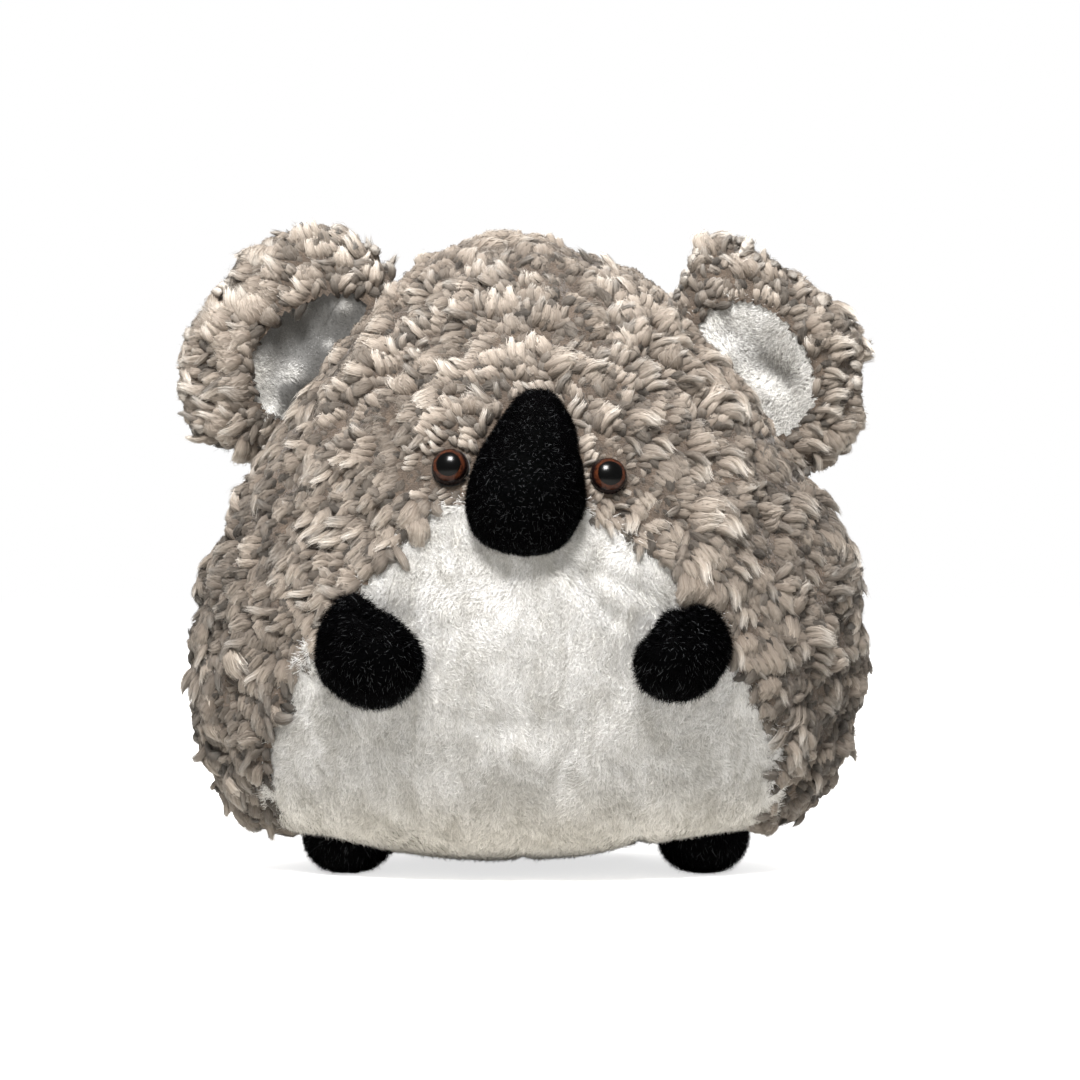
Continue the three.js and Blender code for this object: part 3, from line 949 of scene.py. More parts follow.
    def fill(
        self, curls: Curls, bed: Bed, seeds: Array, seed_normals: Array, taken: Array, rng: np.random.Generator
    ) -> None:
        """Puts single locks where the rows leave room.

        Args:
            curls: What the locks are added to.
            bed: Where they grow.
            seeds: Places that may take one.
            seed_normals: The cloth's normals there.
            taken: Roots of the rows' locks.
            rng: The source of the draws.
        """
        cell = 3.3
        cells = {tuple(at) for at in np.floor(taken / cell).astype(int).tolist()}
        free = np.array([tuple(at) not in cells for at in np.floor(seeds / cell).astype(int).tolist()])
        places = np.flatnonzero(free)
        places = places[spread(seeds[places], self.fill_spacing)]
        roots, normals = seeds[places], seed_normals[places]
        count = len(roots)
        sizes = np.clip(0.93 + 0.13 * rng.standard_normal((count, 3)), 0.65, 1.3)
        kinds = rng.choice(7, count, p=(0.2, 0.18, 0.12, 0.14, 0.14, 0.1, 0.12))
        lays = self.swirled(bed, roots, normals, 1.4, rng)
        # Painted shade: the single locks between the rows are given darker tones than the rows.
        curls.add(roots, normals, lays, sizes, kinds, rng.normal(0.15, 0.16, count))


# Shading


class Graph:
    """A node tree with short words for adding and joining nodes."""

    def __init__(self, tree: bpy.types.NodeTree) -> None:
        """Empties the tree that is to be built."""
        self.tree = tree
        tree.nodes.clear()

    def feed(self, node: bpy.types.Node, **inputs: object) -> None:
        """Sets or links a node's inputs.

        Args:
            node: The node.
            **inputs: Numbers, colours or output sockets, by name with _ for a space or by _ and a number.
        """
        for name, value in inputs.items():
            socket = node.inputs[int(name[1:])] if name[0] == "_" else node.inputs[name.replace("_", " ")]
            if isinstance(value, Socket):
                self.tree.links.new(value, socket)
            else:
                socket.default_value = (*value, 1.0) if socket.type == "RGBA" else value

    def add(self, kind: str, settings: dict[str, object] | None = None, **inputs: object) -> bpy.types.Node:
        """Adds a node.

        Args:
            kind: The node's type without its ShaderNode prefix, or a full type name.
            settings: Properties of the node.
            **inputs: What feeds it.

        Returns:
            The node.
        """
        node = self.tree.nodes.new(kind if kind.startswith("Node") else "ShaderNode" + kind)
        for name, value in (settings or {}).items():
            setattr(node, name, value)
        self.feed(node, **inputs)
        return node

    def maths(self, how: str, one: object, two: object = 0.0, three: float = 0.0, clamp: bool = False) -> Socket:
        """The result of a maths node."""
        return self.add("Math", {"operation": how, "use_clamp": clamp}, _0=one, _1=two, _2=three).outputs[0]

    def mixed(self, share: object, one: object, two: object, how: str = "MIX") -> Socket:
        """The colour that a mix node gives."""
        return self.add("Mix", {"data_type": "RGBA", "blend_type": how}, _0=share, _6=one, _7=two).outputs[2]

    def ranged(
        self, value: Socket, low: float = 0.0, high: float = 1.0, to: Pair = (0.0, 1.0), smooth: bool = False
    ) -> Socket:
        """The value taken from one range to another."""
        how = {"interpolation_type": "SMOOTHSTEP" if smooth else "LINEAR"}
        return self.add("MapRange", how, _0=value, _1=low, _2=high, _3=to[0], _4=to[1]).outputs[0]

    def bump(self, height: Socket, strength: float, distance: float) -> Socket:
        """The normal that a bump node gives."""
        return self.add("Bump", Strength=strength, Distance=distance, Height=height).outputs[0]

    def value(self, name: str) -> Socket:
        """A value that the mesh carries at its points."""
        return self.add("Attribute", {"attribute_name": name}).outputs["Fac"]

    def group(self, tree: bpy.types.NodeTree, **inputs: object) -> bpy.types.bpy_prop_collection:
        """The outputs of a node group placed with its own values."""
        return self.add("Group", {"node_tree": tree}, **inputs).outputs


def opened_group(
    name: str, inputs: dict[str, object], outputs: dict[str, str]
) -> tuple[Graph, bpy.types.bpy_prop_collection, bpy.types.Node]:
    """Starts a node group with named sockets.

    Args:
        name: The group's name.
        inputs: Default values; a colour is a tuple of four.
        outputs: Socket types by name.

    Returns:
        The graph, what the group is given and its output node.
    """
    tree = bpy.data.node_groups.new(name, "ShaderNodeTree")
    graph = Graph(tree)
    for label, value in inputs.items():
        kind = "NodeSocketColor" if isinstance(value, tuple) else "NodeSocketFloat"
        socket = tree.interface.new_socket(name=label, in_out="INPUT", socket_type=kind)
        socket.default_value = value
    for label, kind in outputs.items():
        tree.interface.new_socket(name=label, in_out="OUTPUT", socket_type=kind)
    return graph, graph.add("NodeGroupInput").outputs, graph.add("NodeGroupOutput")


class Effects:
    """The node groups that several finishes share."""

    def __init__(self) -> None:
        """Builds each group once."""
        self.pile_colour = self.make_pile_colour()
        self.strands = self.make_strands()
        self.nap = self.make_nap()

    @staticmethod
    def make_pile_colour() -> bpy.types.NodeTree:
        """Colour from root to tip, the darker root being painted shade deep in the pile, lighter or darker with each
        fibre's tone.

        Returns:
            The node group.
        """
        graph, get, result = opened_group(
            "pile_colour",
            {
                "Along": 0.5,
                "Tone": 0.5,
                "Root": (0.2, 0.15, 0.1, 1.0),
                "Middle": (0.4, 0.33, 0.27, 1.0),
                "Tip": (0.6, 0.53, 0.46, 1.0),
                "Spread": 0.3,
            },
            {"Colour": "NodeSocketColor"},
        )
        low = graph.mixed(graph.maths("MULTIPLY", get["Along"], 2.0, clamp=True), get["Root"], get["Middle"])
        base = graph.mixed(graph.maths("MULTIPLY_ADD", get["Along"], 2.0, -1.0, clamp=True), low, get["Tip"])
        swing = graph.maths("MULTIPLY", graph.maths("SUBTRACT", get["Tone"], 0.5), get["Spread"])
        scale = graph.maths("ADD", graph.maths("MULTIPLY", swing, 2.0), 1.0)
        tint = graph.add("CombineColor", Red=scale, Green=scale, Blue=scale).outputs[0]
        graph.feed(result, Colour=graph.mixed(1.0, base, tint, "MULTIPLY"))
        return graph.tree

    @staticmethod
    def make_strands() -> bpy.types.NodeTree:
        """Fine strands that run along a lock.

        Returns:
            The node group.
        """
        graph, get, result = opened_group(
            "strands",
            {"Along": 0.5, "Around": 0.5, "Seed": 0.0, "Fineness": 16.0},
            {"Mask": "NodeSocketFloat", "Height": "NodeSocketFloat"},
        )
        across = graph.maths("MULTIPLY", get["Around"], get["Fineness"])
        length = graph.maths("MULTIPLY", get["Along"], 1.4)
        at = graph.add("CombineXYZ", X=across, Y=length, Z=graph.maths("MULTIPLY", get["Seed"], 37.0)).outputs[0]
        broad = graph.add("TexNoise", Vector=at, Scale=1.0, Detail=3.0, Roughness=0.65, Distortion=0.35).outputs[0]
        fine = graph.add("TexNoise", Vector=at, Scale=2.7, Detail=1.0).outputs[0]
        height = graph.maths("ADD", graph.maths("MULTIPLY", broad, 0.65), graph.maths("MULTIPLY", fine, 0.35))
        graph.feed(result, Mask=graph.ranged(height, 0.36, 0.64), Height=height)
        return graph.tree

    @staticmethod
    def make_nap() -> bpy.types.NodeTree:
        """Patches where the pile is brushed another way, and its fine grain.

        Returns:
            The node group.
        """
        graph, get, result = opened_group(
            "nap",
            {"Patch scale": 60.0, "Grain scale": 900.0, "Stretch": 0.35},
            {"Patches": "NodeSocketFloat", "Grain": "NodeSocketFloat"},
        )
        where = graph.add("TexCoord").outputs["Object"]
        squeeze = graph.add("CombineXYZ", X=1.0, Y=1.0, Z=get["Stretch"]).outputs[0]
        laid = graph.add("VectorMath", {"operation": "MULTIPLY"}, _0=where, _1=squeeze).outputs[0]
        scale = get["Patch scale"]
        patches = graph.add("TexNoise", Vector=laid, Scale=scale, Detail=4.0, Roughness=0.6, Distortion=0.8)
        grain = graph.add("TexNoise", Vector=where, Scale=get["Grain scale"], Detail=2.0, Roughness=0.7).outputs[0]
        graph.feed(result, Patches=graph.ranged(patches.outputs[0], 0.35, 0.65), Grain=grain)
        return graph.tree


def opened_material(name: str) -> tuple[bpy.types.Material, Graph, bpy.types.Node]:
    """Starts a material with a Principled BSDF.

    Args:
        name: The material's name.

    Returns:
        The material, its graph and the shader node.
    """
    material = bpy.data.materials.new(name)
    material.use_nodes = True
    graph = Graph(material.node_tree)
    shader = graph.add("BsdfPrincipled")
    graph.add("OutputMaterial", _0=shader.outputs[0])
    return material, graph, shader


@dataclass(frozen=True)
class FibreColours:
    """A fibre's colours from root to tip, and how far they vary from one fibre to the next; the darker root is
    painted shade deep in the pile, and in the fleece partly its own browner colour.
    """

    root: Colour
    middle: Colour
    tip: Colour
    spread: float

    def put(self, graph: Graph, effects: Effects, along: Socket, tone: Socket) -> Socket:
        """The colour at each point, from where it lies along its fibre and the fibre's tone."""
        ends = {"Root": self.root, "Middle": self.middle, "Tip": self.tip}
        return graph.group(effects.pile_colour, Along=along, Tone=tone, Spread=self.spread, **ends)[0]


@dataclass(frozen=True)
class CurlFinish:
    """Curly fleece: warm brown at the root, pale and glossy at the tip; the dark roots are partly painted shade and
    the pale tips partly painted light.
    """

    name: str = "curly_fleece"
    colours: FibreColours = FibreColours((0.075, 0.055, 0.04), (0.37, 0.326, 0.282), (0.75, 0.715, 0.67), 0.42)
    strand_tone_and_groove_shade: Colour = (0.64, 0.6, 0.56)
    sheen: float = 0.12
    sheen_tint: Colour = (1.0, 0.93, 0.86)

    def made(self, effects: Effects) -> bpy.types.Material:
        """Builds the material.

        Args:
            effects: The shared groups.

        Returns:
            The material.
        """
        material, graph, shader = opened_material(self.name)
        along, tone, around, fibre = (graph.value(name) for name in ("along", "tone", "around", "fibre"))
        # Painted light and shade: the colour runs from a dark root, deep in the fleece, to a pale tip where the locks
        # face the light; loose fibres are painted a little lighter.
        lit = graph.maths("ADD", graph.maths("POWER", along, 1.4), graph.maths("MULTIPLY", fibre, 0.14))
        colour = self.colours.put(graph, effects, lit, tone)
        strands = graph.group(effects.strands, Along=along, Around=around, Seed=tone, Fineness=40.0)
        # Painted shade in part: where the strands' bump sinks between them, the colour is darker.
        darker = graph.mixed(1.0, colour, self.strand_tone_and_groove_shade, "MULTIPLY")
        graph.feed(
            shader,
            Base_Color=graph.mixed(strands["Mask"], darker, colour),
            Normal=graph.bump(strands["Height"], 1.0, 0.0006),
            Roughness=graph.ranged(strands["Mask"], to=(0.72, 0.5)),
            Specular_IOR_Level=0.25,
            Sheen_Weight=self.sheen,
            Sheen_Roughness=0.45,
            Sheen_Tint=self.sheen_tint,
        )
        return material


@dataclass(frozen=True)
class GroundFinish:
    """The backing that the locks grow from, fuzzy, its own brown made darker as painted shade in the gaps between the
    locks.
    """

    name: str = "fleece_ground"
    low: Colour = (0.045, 0.031, 0.021)
    high: Colour = (0.15, 0.108, 0.077)

    def made(self, effects: Effects) -> bpy.types.Material:
        """Builds the material.

        Args:
            effects: The shared groups.

        Returns:
            The material.
        """
        material, graph, shader = opened_material(self.name)
        nap = graph.group(effects.nap, Patch_scale=150.0, Grain_scale=1300.0, Stretch=1.0)
        share = graph.maths("MULTIPLY", nap["Patches"], nap["Grain"])
        graph.feed(
            shader,
            Base_Color=graph.mixed(share, self.low, self.high),
            Normal=graph.bump(nap["Grain"], 0.9, 0.0012),
            Roughness=0.95,
            Sheen_Weight=0.3,
        )
        return material


@dataclass(frozen=True)
class PlushFinish:
    """Short plush: patches of nap, fine grain, and a colour from root to tip, with painted glints on a few fibres and
    a painted warm shade low down where set.
    """

    name: str
    colours: FibreColours
    shade: Colour
    roughness: float
    sheen: float
    patch_scale: float = 55.0
    stretch: float = 0.45
    specular: float = 0.3
    painted_glint: float = 0.0
    painted_glint_colour: Colour = (0.35, 0.38, 0.45)
    painted_low_warm_shade: Colour | None = None

    def made(self, effects: Effects) -> bpy.types.Material:
        """Builds the material.

        Args:
            effects: The shared groups.

        Returns:
            The material.
        """
        material, graph, shader = opened_material(self.name)
        along, tone = graph.value("along"), graph.value("tone")
        colour = self.colours.put(graph, effects, along, tone)
        nap = graph.group(effects.nap, Patch_scale=self.patch_scale, Grain_scale=1500.0, Stretch=self.stretch)
        final = graph.mixed(nap["Patches"], graph.mixed(1.0, colour, self.shade, "MULTIPLY"), colour)
        # Painted shade: the colour is made warmer and a little darker below 5 cm, as on the shaded lower belly.
        if self.painted_low_warm_shade:
            height = graph.add("SeparateXYZ", _0=graph.add("TexCoord").outputs["Object"]).outputs[2]
            warm_low_shaded = graph.mixed(1.0, final, self.painted_low_warm_shade, "MULTIPLY")
            final = graph.mixed(graph.ranged(height, 0.05, 0.01, smooth=True), final, warm_low_shaded)
        roughness: float | Socket = self.roughness
        # Painted glints: a few fibres are painted light grey towards their tips, and made glossier.
        if self.painted_glint > 0:
            glinting = graph.maths("GREATER_THAN", tone, 1.0 - self.painted_glint)
            final = graph.mixed(graph.maths("MULTIPLY", glinting, along), final, self.painted_glint_colour)
            roughness = graph.maths("MULTIPLY_ADD", glinting, -0.3, self.roughness)
        graph.feed(
            shader,
            Base_Color=final,
            Normal=graph.bump(nap["Grain"], 0.35, 0.0006),
            Roughness=roughness,
            Specular_IOR_Level=self.specular,
            Sheen_Weight=self.sheen,
            Sheen_Roughness=0.4,
        )
        return material


@dataclass(frozen=True)
class MouldedFinish:
    """Moulded plastic with a faint orange peel and handling marks."""

    name: str
    colour: Colour
    worn: Colour
    roughness: float

    def made(self, effects: Effects) -> bpy.types.Material:
        """Builds the material.

        Args:
            effects: The shared groups.

        Returns:
            The material.
        """
        material, graph, shader = opened_material(self.name)
        nap = graph.group(effects.nap, Patch_scale=400.0, Grain_scale=2600.0, Stretch=1.0)
        worn = graph.maths("MULTIPLY", nap["Patches"], 0.4)
        graph.feed(
            shader,
            Base_Color=graph.mixed(worn, self.colour, self.worn),
            Normal=graph.bump(nap["Grain"], 0.15, 0.0001),
            Roughness=graph.maths("MULTIPLY_ADD", nap["Grain"], 0.2, self.roughness),
        )
        return material


@dataclass(frozen=True)
class EyeFinish:
    """A safety eye: black pupil, red-brown iris, dark rim, all under a clear gloss."""

    name: str = "amber_eye"
    pupil: Colour = (0.0008, 0.0008, 0.0008)
    iris: Colour = (0.06, 0.018, 0.008)
    iris_dark: Colour = (0.014, 0.005, 0.0035)
    rim: Colour = (0.006, 0.003, 0.003)
    pupil_share: float = 0.66
    pupil_blur: float = 0.03
    rim_share: float = 0.85
    rim_blur: float = 0.05

    def made(self, effects: Effects) -> bpy.types.Material:
        """Builds the material.

        Args:
            effects: The shared groups.

        Returns:
            The material.
        """
        material, graph, shader = opened_material(self.name)
        radius = graph.value("radius")
        nap = graph.group(effects.nap, Patch_scale=500.0, Grain_scale=2000.0, Stretch=1.0)
        iris = graph.mixed(nap["Patches"], self.iris_dark, self.iris)
        edges = ((self.pupil_share, self.pupil_blur), (self.rim_share, self.rim_blur))
        edge, rim = (graph.ranged(radius, at - blur, at + blur, smooth=True) for at, blur in edges)
        colour = graph.mixed(rim, graph.mixed(edge, self.pupil, iris), self.rim)
        graph.feed(shader, Base_Color=colour, Roughness=0.2, Specular_IOR_Level=0.18)
        return material


@dataclass(frozen=True)
class Finished:
    """A material with the record's slot that it is the finish of."""

    material: bpy.types.Material
    slot: str


class Finishes:
    """Every material of the cushion."""

    def __init__(self) -> None:
        """Builds the materials from their finishes."""
        effects = Effects()
        white = FibreColours((0.52, 0.505, 0.48), (0.8, 0.795, 0.785), (0.95, 0.945, 0.94), 0.16)
        satin = FibreColours((0.17, 0.167, 0.16), (0.36, 0.355, 0.345), (0.72, 0.715, 0.7), 0.8)
        black = FibreColours((0.001, 0.001, 0.001), (0.0015, 0.0015, 0.0018), (0.0025, 0.0025, 0.003), 0.4)
        wadding = FibreColours((0.6, 0.59, 0.57), (0.8, 0.79, 0.77), (0.9, 0.9, 0.88), 0.1)
        finishes: dict[str, tuple[str, object]] = {
            "curls": ("curly_fleece", CurlFinish()),
            "ground": ("curly_fleece", GroundFinish()),
            "white": ("white_plush", PlushFinish(
                "white_plush", white, (0.7, 0.69, 0.665), roughness=0.7, sheen=0.2, patch_scale=95.0, stretch=0.6,
                painted_low_warm_shade=(1.0, 0.965, 0.9),
            )),
            "satin": ("white_plush", PlushFinish(
                "ear_plush", satin, (0.75, 0.74, 0.72), roughness=0.4, sheen=0.1, patch_scale=60.0, stretch=0.8,
                specular=0.4,
            )),
            "black": ("black_velour", PlushFinish(
                "black_velour", black, (0.6, 0.6, 0.6), roughness=0.6, sheen=0.0, painted_glint=0.035,
                painted_glint_colour=(0.1, 0.105, 0.11), specular=0.015,
            )),
            "wadding": ("fibre_filling", PlushFinish(
                "fibre_filling", wadding, (0.8, 0.8, 0.78), roughness=0.9, sheen=0.3,
            )),
            "eye": ("amber_eye", EyeFinish()),
            "shank": ("black_plastic", MouldedFinish("black_plastic", (0.01, 0.01, 0.01), (0.03, 0.03, 0.03), 0.3)),
            "washer": ("white_plastic", MouldedFinish("white_plastic", (0.75, 0.75, 0.71), (0.6, 0.6, 0.56), 0.4)),
        }
        self.made = {name: Finished(finish.made(effects), slot) for name, (slot, finish) in finishes.items()}


# The cushion


@dataclass(frozen=True)
class Seam:
    """Where cloth bends between the cushion and a limb's body, from a start to an end in the maker's frame."""

    body: str
    start: Array
    end: Array


class Workshop:
    """What every sub-assembly needs: the frame, the finishes and the way to set pieces down."""

    def __init__(self, frame: dict[str, object]) -> None:
        """Reads where the maker's frame lies.
        """
        self.frame = frame
        self.joints = {joint["name"]: joint for joint in frame["joints"]}
        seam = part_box("front_panel")[1].y + 0.2 * MM
        hinges = [self.joints[f"{side.value}_paw_lift"]["pos_m"][0] for side in Side]
        self.shift = np.array((sum(hinges) / 2, seam, 0.0))
        self.finishes = Finishes().made

    def row(self, points: Array) -> Array:
        """Maker's millimetres to the row frame's metres."""
        return points * MM + self.shift

    def maker(self, place: Sequence[float]) -> Array:
        """The row frame's metres to maker's millimetres."""
        return (np.array(place) - self.shift) / MM

    def piece(
        self, name: str, patch: Patch, finish: str, hold: str | Seam = "cushion", node: str = ""
    ) -> None:
        """Makes an object of a patch and sets it on its body, if it is held by one.

        Args:
            name: The piece's name.
            patch: Its shape in the maker's frame.
            finish: The name of its finish.
            hold: The body that it rides on, or the seam that it is sewn at, which leaves it on no body.
            node: The solid that it stands for, if any.
        """
        look = self.finishes[finish]
        patch.points[:, 2] = np.maximum(patch.points[:, 2], 0.02)
        mesh = bpy.data.meshes.new(name)
        loops = np.concatenate([patch.quads.ravel(), patch.triangles.ravel()]).astype(np.int32)
        totals = np.concatenate([np.full(len(patch.quads), 4), np.full(len(patch.triangles), 3)])
        starts = np.concatenate([[0], np.cumsum(totals)[:-1]]).astype(np.int32)
        mesh.vertices.add(len(patch.points))
        mesh.vertices.foreach_set("co", self.row(patch.points).astype(np.float32).ravel())
        mesh.loops.add(len(loops))
        mesh.loops.foreach_set("vertex_index", loops)
        mesh.polygons.add(len(totals))
        mesh.polygons.foreach_set("loop_start", starts)
        mesh.update(calc_edges=True)
        mesh.validate()
        mesh.polygons.foreach_set("use_smooth", np.ones(len(totals), bool))
        for label, values in patch.values.items():
            store = mesh.attributes.new(label, "FLOAT", "POINT")
            store.data.foreach_set("value", values.astype(np.float32))
        if patch.normals is not None:
            mesh.normals_split_custom_set_from_vertices(patch.normals.tolist())
        mesh.materials.append(look.material)
        made = bpy.data.objects.new(name, mesh)
        bpy.context.scene.collection.objects.link(made)
        if isinstance(hold, Seam):
            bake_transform(made)
        else:
            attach(made, hold)
        if node:
            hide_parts(node)
        log.info("%s: %d faces on %s", name, len(totals), hold.body if isinstance(hold, Seam) else hold)


@dataclass
class Body:
    """The body and head: one pillow form with a curly cover and a plush belly.

    A row of its sections is height, half width, front and back, as shares. A crease is its two ends in X and
    Z, its width and its depth. A side bulge is its millimetres, height, spread and the X where it is full.
    No lock grows in the nose's oval, given by its middle in X and Z and its half width and height.
    """

    width: float = 290.0
    height: float = 272.0
    front: float = 82.0
    back: float = 76.0
    backing: float = 4.4
    plush_backing: float = 5.6
    rows: tuple[tuple[float, ...], ...] = (
        (0, 0, 0, 0), (0, 0.19, 0.22, 0.36), (0.011, 0.41, 0.46, 0.57), (0.03, 0.62, 0.64, 0.71),
        (0.055, 0.785, 0.76, 0.8), (0.103, 0.905, 0.87, 0.89), (0.184, 0.972, 0.95, 0.96), (0.3, 1, 1, 1),
        (0.423, 0.986, 0.985, 0.985), (0.533, 0.93, 0.93, 0.94), (0.643, 0.8, 0.855, 0.86),
        (0.754, 0.65, 0.755, 0.75), (0.853, 0.515, 0.6, 0.59), (0.926, 0.395, 0.44, 0.43),
        (0.974, 0.245, 0.25, 0.24), (1, 0, 0, 0),
    )
    belly_left: Outline = (
        (2, 97), (13, 104), (25, 107), (40, 107.8), (56, 107.5), (67, 104.5), (83.5, 97), (98, 86.5),
        (104, 79.5), (110, 74), (123, 67), (130, 61), (141, 50), (150, 42), (154, 38), (157.5, 22),
    )
    belly_right: Outline = (
        (2, 92), (13, 97), (21, 100), (33, 103), (46, 104.2), (58.6, 103), (71, 99), (83.6, 92.6),
        (96, 84.3), (107, 78), (119, 72), (126, 66), (138, 50), (146, 37), (150, 30), (157.5, 18),
    )
    creases: tuple[tuple[float, ...], ...] = (
        (14, 138, 42, 98, 4.5, 2.6), (22, 132, 60, 112, 4.0, 1.6), (-4, 136, -10, 104, 5.0, 1.2),
        (-20, 70, 30, 62, 6.0, 1.2), (30, 60, 52, 30, 4.0, 1.6), (50, 42, 92, 52, 5.0, 1.2), (4, 40, 0, 4, 5.0, 1.6),
        (48, 34, 46, 14, 3.6, 2.4), (-60, 100, -96, 76, 4.5, 1.0), (-40, 84, -76, 40, 6.0, 0.9),
    )
    side_bulges: tuple[tuple[float, ...], ...] = (
        (4.0, 132, 26, 110), (-5.0, 24, 20, 110), (3.5, 144, 22, -100), (-2.4, 62, 16, -110), (3.0, 95, 18, 110),
    )
    puff_height: float = 5.0
    puff_turns: int = 20
    eyes: tuple[Spot, ...] = ()
    eye_clear: float = 7.4
    nose_clear: tuple[float, ...] = (1, 166, 20, 31)
    base_clear: float = 3.6
    overlap: float = 1.8
    lower_edge: Outline = (
        (-125, 22), (-96, 19), (-83, 15.5), (-65, 13), (-48, 11.5), (-38, 9), (-28, 8), (-8, 10), (-1, 12), (6, 10.5),
        (22, 12.2), (32, 14.5), (42, 18), (46.5, 21), (52, 18.8), (93, 23.5), (125, 26),
    )
    belly_top: float = 157.3
    head_from: float = 150
    upper_back_from: float = 135
    seed: int = 5

    def form(self) -> StuffedForm:
        """The body's sections."""
        return StuffedForm(self.rows, 0, self.height, self.width / 2, self.front, self.back, 2.15)

    def belly_span(self, height: Array) -> tuple[Array, Array]:
        """The belly's left and right edges at each height."""
        left, right = np.array(self.belly_left), np.array(self.belly_right)
        return -np.interp(height, left[:, 0], left[:, 1]), np.interp(height, right[:, 0], right[:, 1])

    def on_belly(self, points: Array, margin: float = 0.0) -> Array:
        """Tells which points lie on the belly.

        Args:
            points: Points in the maker's frame.
            margin: Millimetres inside the belly's edge.

        Returns:
            True for each point on the belly.
        """
        low, high = self.belly_span(points[:, 2])
        inside = (points[:, 0] > low + margin) & (points[:, 0] < high - margin)
        return inside & (points[:, 1] < 0) & (points[:, 2] < self.belly_left[-1][0] - margin)

    def inside_front(self, points: Array, grow: float) -> Array:
        """Tells which points lie behind the body's front surface, moved out by a distance."""
        deep = self.form().front_depth(points[:, 0], points[:, 2], grow)
        return (points[:, 1] > -deep) & (points[:, 1] < 60)

    def puffs(self, points: Array, segments: int, rings: int) -> Array:
        """How far the fleece stands out in its puffs, the same ones as the solid cover has.

        Args:
            points: The points of a ball, ring by ring, with its two ends last.
            segments: Points round it.
            rings: Rings along it.

        Returns:
            Millimetres at each point.
        """
        share = np.append(np.repeat(np.linspace(0, 1, rings + 1)[1:-1], segments), (0, 1))
        angle = np.append(np.tile(np.linspace(0, FULL_TURN, segments, endpoint=False), rings - 1), (0, 0))
        turns = self.puff_turns
        wave = np.cos((angle - math.pi) * turns) * np.cos((1 - share) * turns * math.pi)
        uneven = 0.125 * (1 + np.sin(5 * angle + 37 * share))
        x, y, z = points.T
        face = np.where(y < 0, np.hypot(x, z - 167), 999.0)
        ear = np.hypot(y, np.maximum(np.abs(z - 213) - 51, 0))
        paw = np.sqrt((np.abs(x) - 76.4) ** 2 + (y + 69.6) ** 2 + (z - 112) ** 2)
        clear = ((face, 46), (ear, 18), (paw, 24), (z, 12), (self.height - z, 0))
        held = np.min([ease((distance - start) / 24) for distance, start in clear], axis=0)
        return self.puff_height / 2 * wave * (1 - uneven) * held

    def shaped(self, segments: int, rings: int, grow: float) -> Patch:
        """The body's cloth with its puffs and stuffing lumps.

        Args:
            segments: Faces round it.
            rings: Faces along it.
            grow: Millimetres that it is moved out.

        Returns:
            The cloth.
        """
        patch = self.form().ball(grow, segments, rings)
        points = patch.points
        lumps = 1.4 * Grain(self.seed).at(points, 46.0) + Grain(self.seed + 1).at(points, 21.0)
        held = ease(points[:, 2] / 14.0) * ease((self.height - points[:, 2]) / 10.0 + 0.4)
        stand = lumps * held + self.puffs(points, segments, rings)
        moved = points + patch.facing() * stand[:, None]
        for much, height, size, full in self.side_bulges:
            moved[:, 0] += much * hump(points[:, 2], height, size) * ease(points[:, 0] / full)
        peak = 3.0 * hump(points[:, 0], -8, 30) - 3.0 * hump(points[:, 0], 36, 16)
        moved[:, 2] += self.lifted(moved) + peak * ease((points[:, 2] - 238) / 26)
        patch.points = moved
        return patch

    def underside(self, points: Array) -> Array:
        """How high the cushion's underside lies, which rises from its back to its front edge."""
        edge = np.array(self.lower_edge)
        return np.maximum(np.interp(points[:, 0], edge[:, 0], edge[:, 1]) - 0.15 * (points[:, 1] + 60), 0.0)

    def lifted(self, points: Array) -> Array:
        """How far up the cloth is pushed, in millimetres, where it would lie under the underside.

        Args:
            points: Places on the cloth.

        Returns:
            Millimetres upwards.
        """
        under = self.underside(points)
        soft = np.clip(under / 3.0, 0.05, 2.4)
        return soft * np.logaddexp(0, (under - points[:, 2]) / soft) * ease(under / 2.0)

    def belly_relief(self, across: Array, height: Array) -> Array:
        """Soft creases and puckers in the plush, in millimetres inwards.

        Args:
            across: X of each point.
            height: Z of each point.

        Returns:
            How far the cloth lies in.
        """
        depth = np.zeros_like(across)
        for x0, z0, x1, z1, wide, deep in self.creases:
            length = math.hypot(x1 - x0, z1 - z0)
            run = ((across - x0) * (x1 - x0) + (height - z0) * (z1 - z0)) / length**2
            off = ((across - x0) * (z1 - z0) - (height - z0) * (x1 - x0)) / length
            ends = ease(run / 0.35) * ease((1 - run) / 0.45)
            depth += deep * ends * hump(off, 0.0, wide)
            depth -= 0.55 * deep * ends * hump(off, 1.7 * wide, 1.3 * wide)
        return depth

    def belly(self) -> Patch:
        """The plush belly as a sheet.

        Returns:
            The sheet, in the part's frame.
        """
        form = self.form()
        height = 2.5 + (self.belly_top - 2.5) * np.linspace(0, 1, 190) ** 1.15
        low, high = self.belly_span(height)
        limit = form.half_span(height, -self.plush_backing) * 0.99
        low, high = np.maximum(low, -limit), np.minimum(high, limit)
        share = np.linspace(0, 1, 230)
        across = low[:, None] + (high - low)[:, None] * share
        tall = np.repeat(height[:, None], len(share), axis=1)
        deep = form.front_depth(across.ravel(), tall.ravel(), -self.plush_backing)
        points = np.column_stack([across.ravel(), -deep, tall.ravel()])
        points[:, 1] += self.belly_relief(points[:, 0], points[:, 2])
        points[:, 1] += 0.5 * Grain(self.seed + 2).at(points, 8.0) + 0.9 * Grain(self.seed + 3).at(points, 26.0)
        points[:, 2] += self.lifted(points)
        return sheet(points.reshape(len(height), len(share), 3))

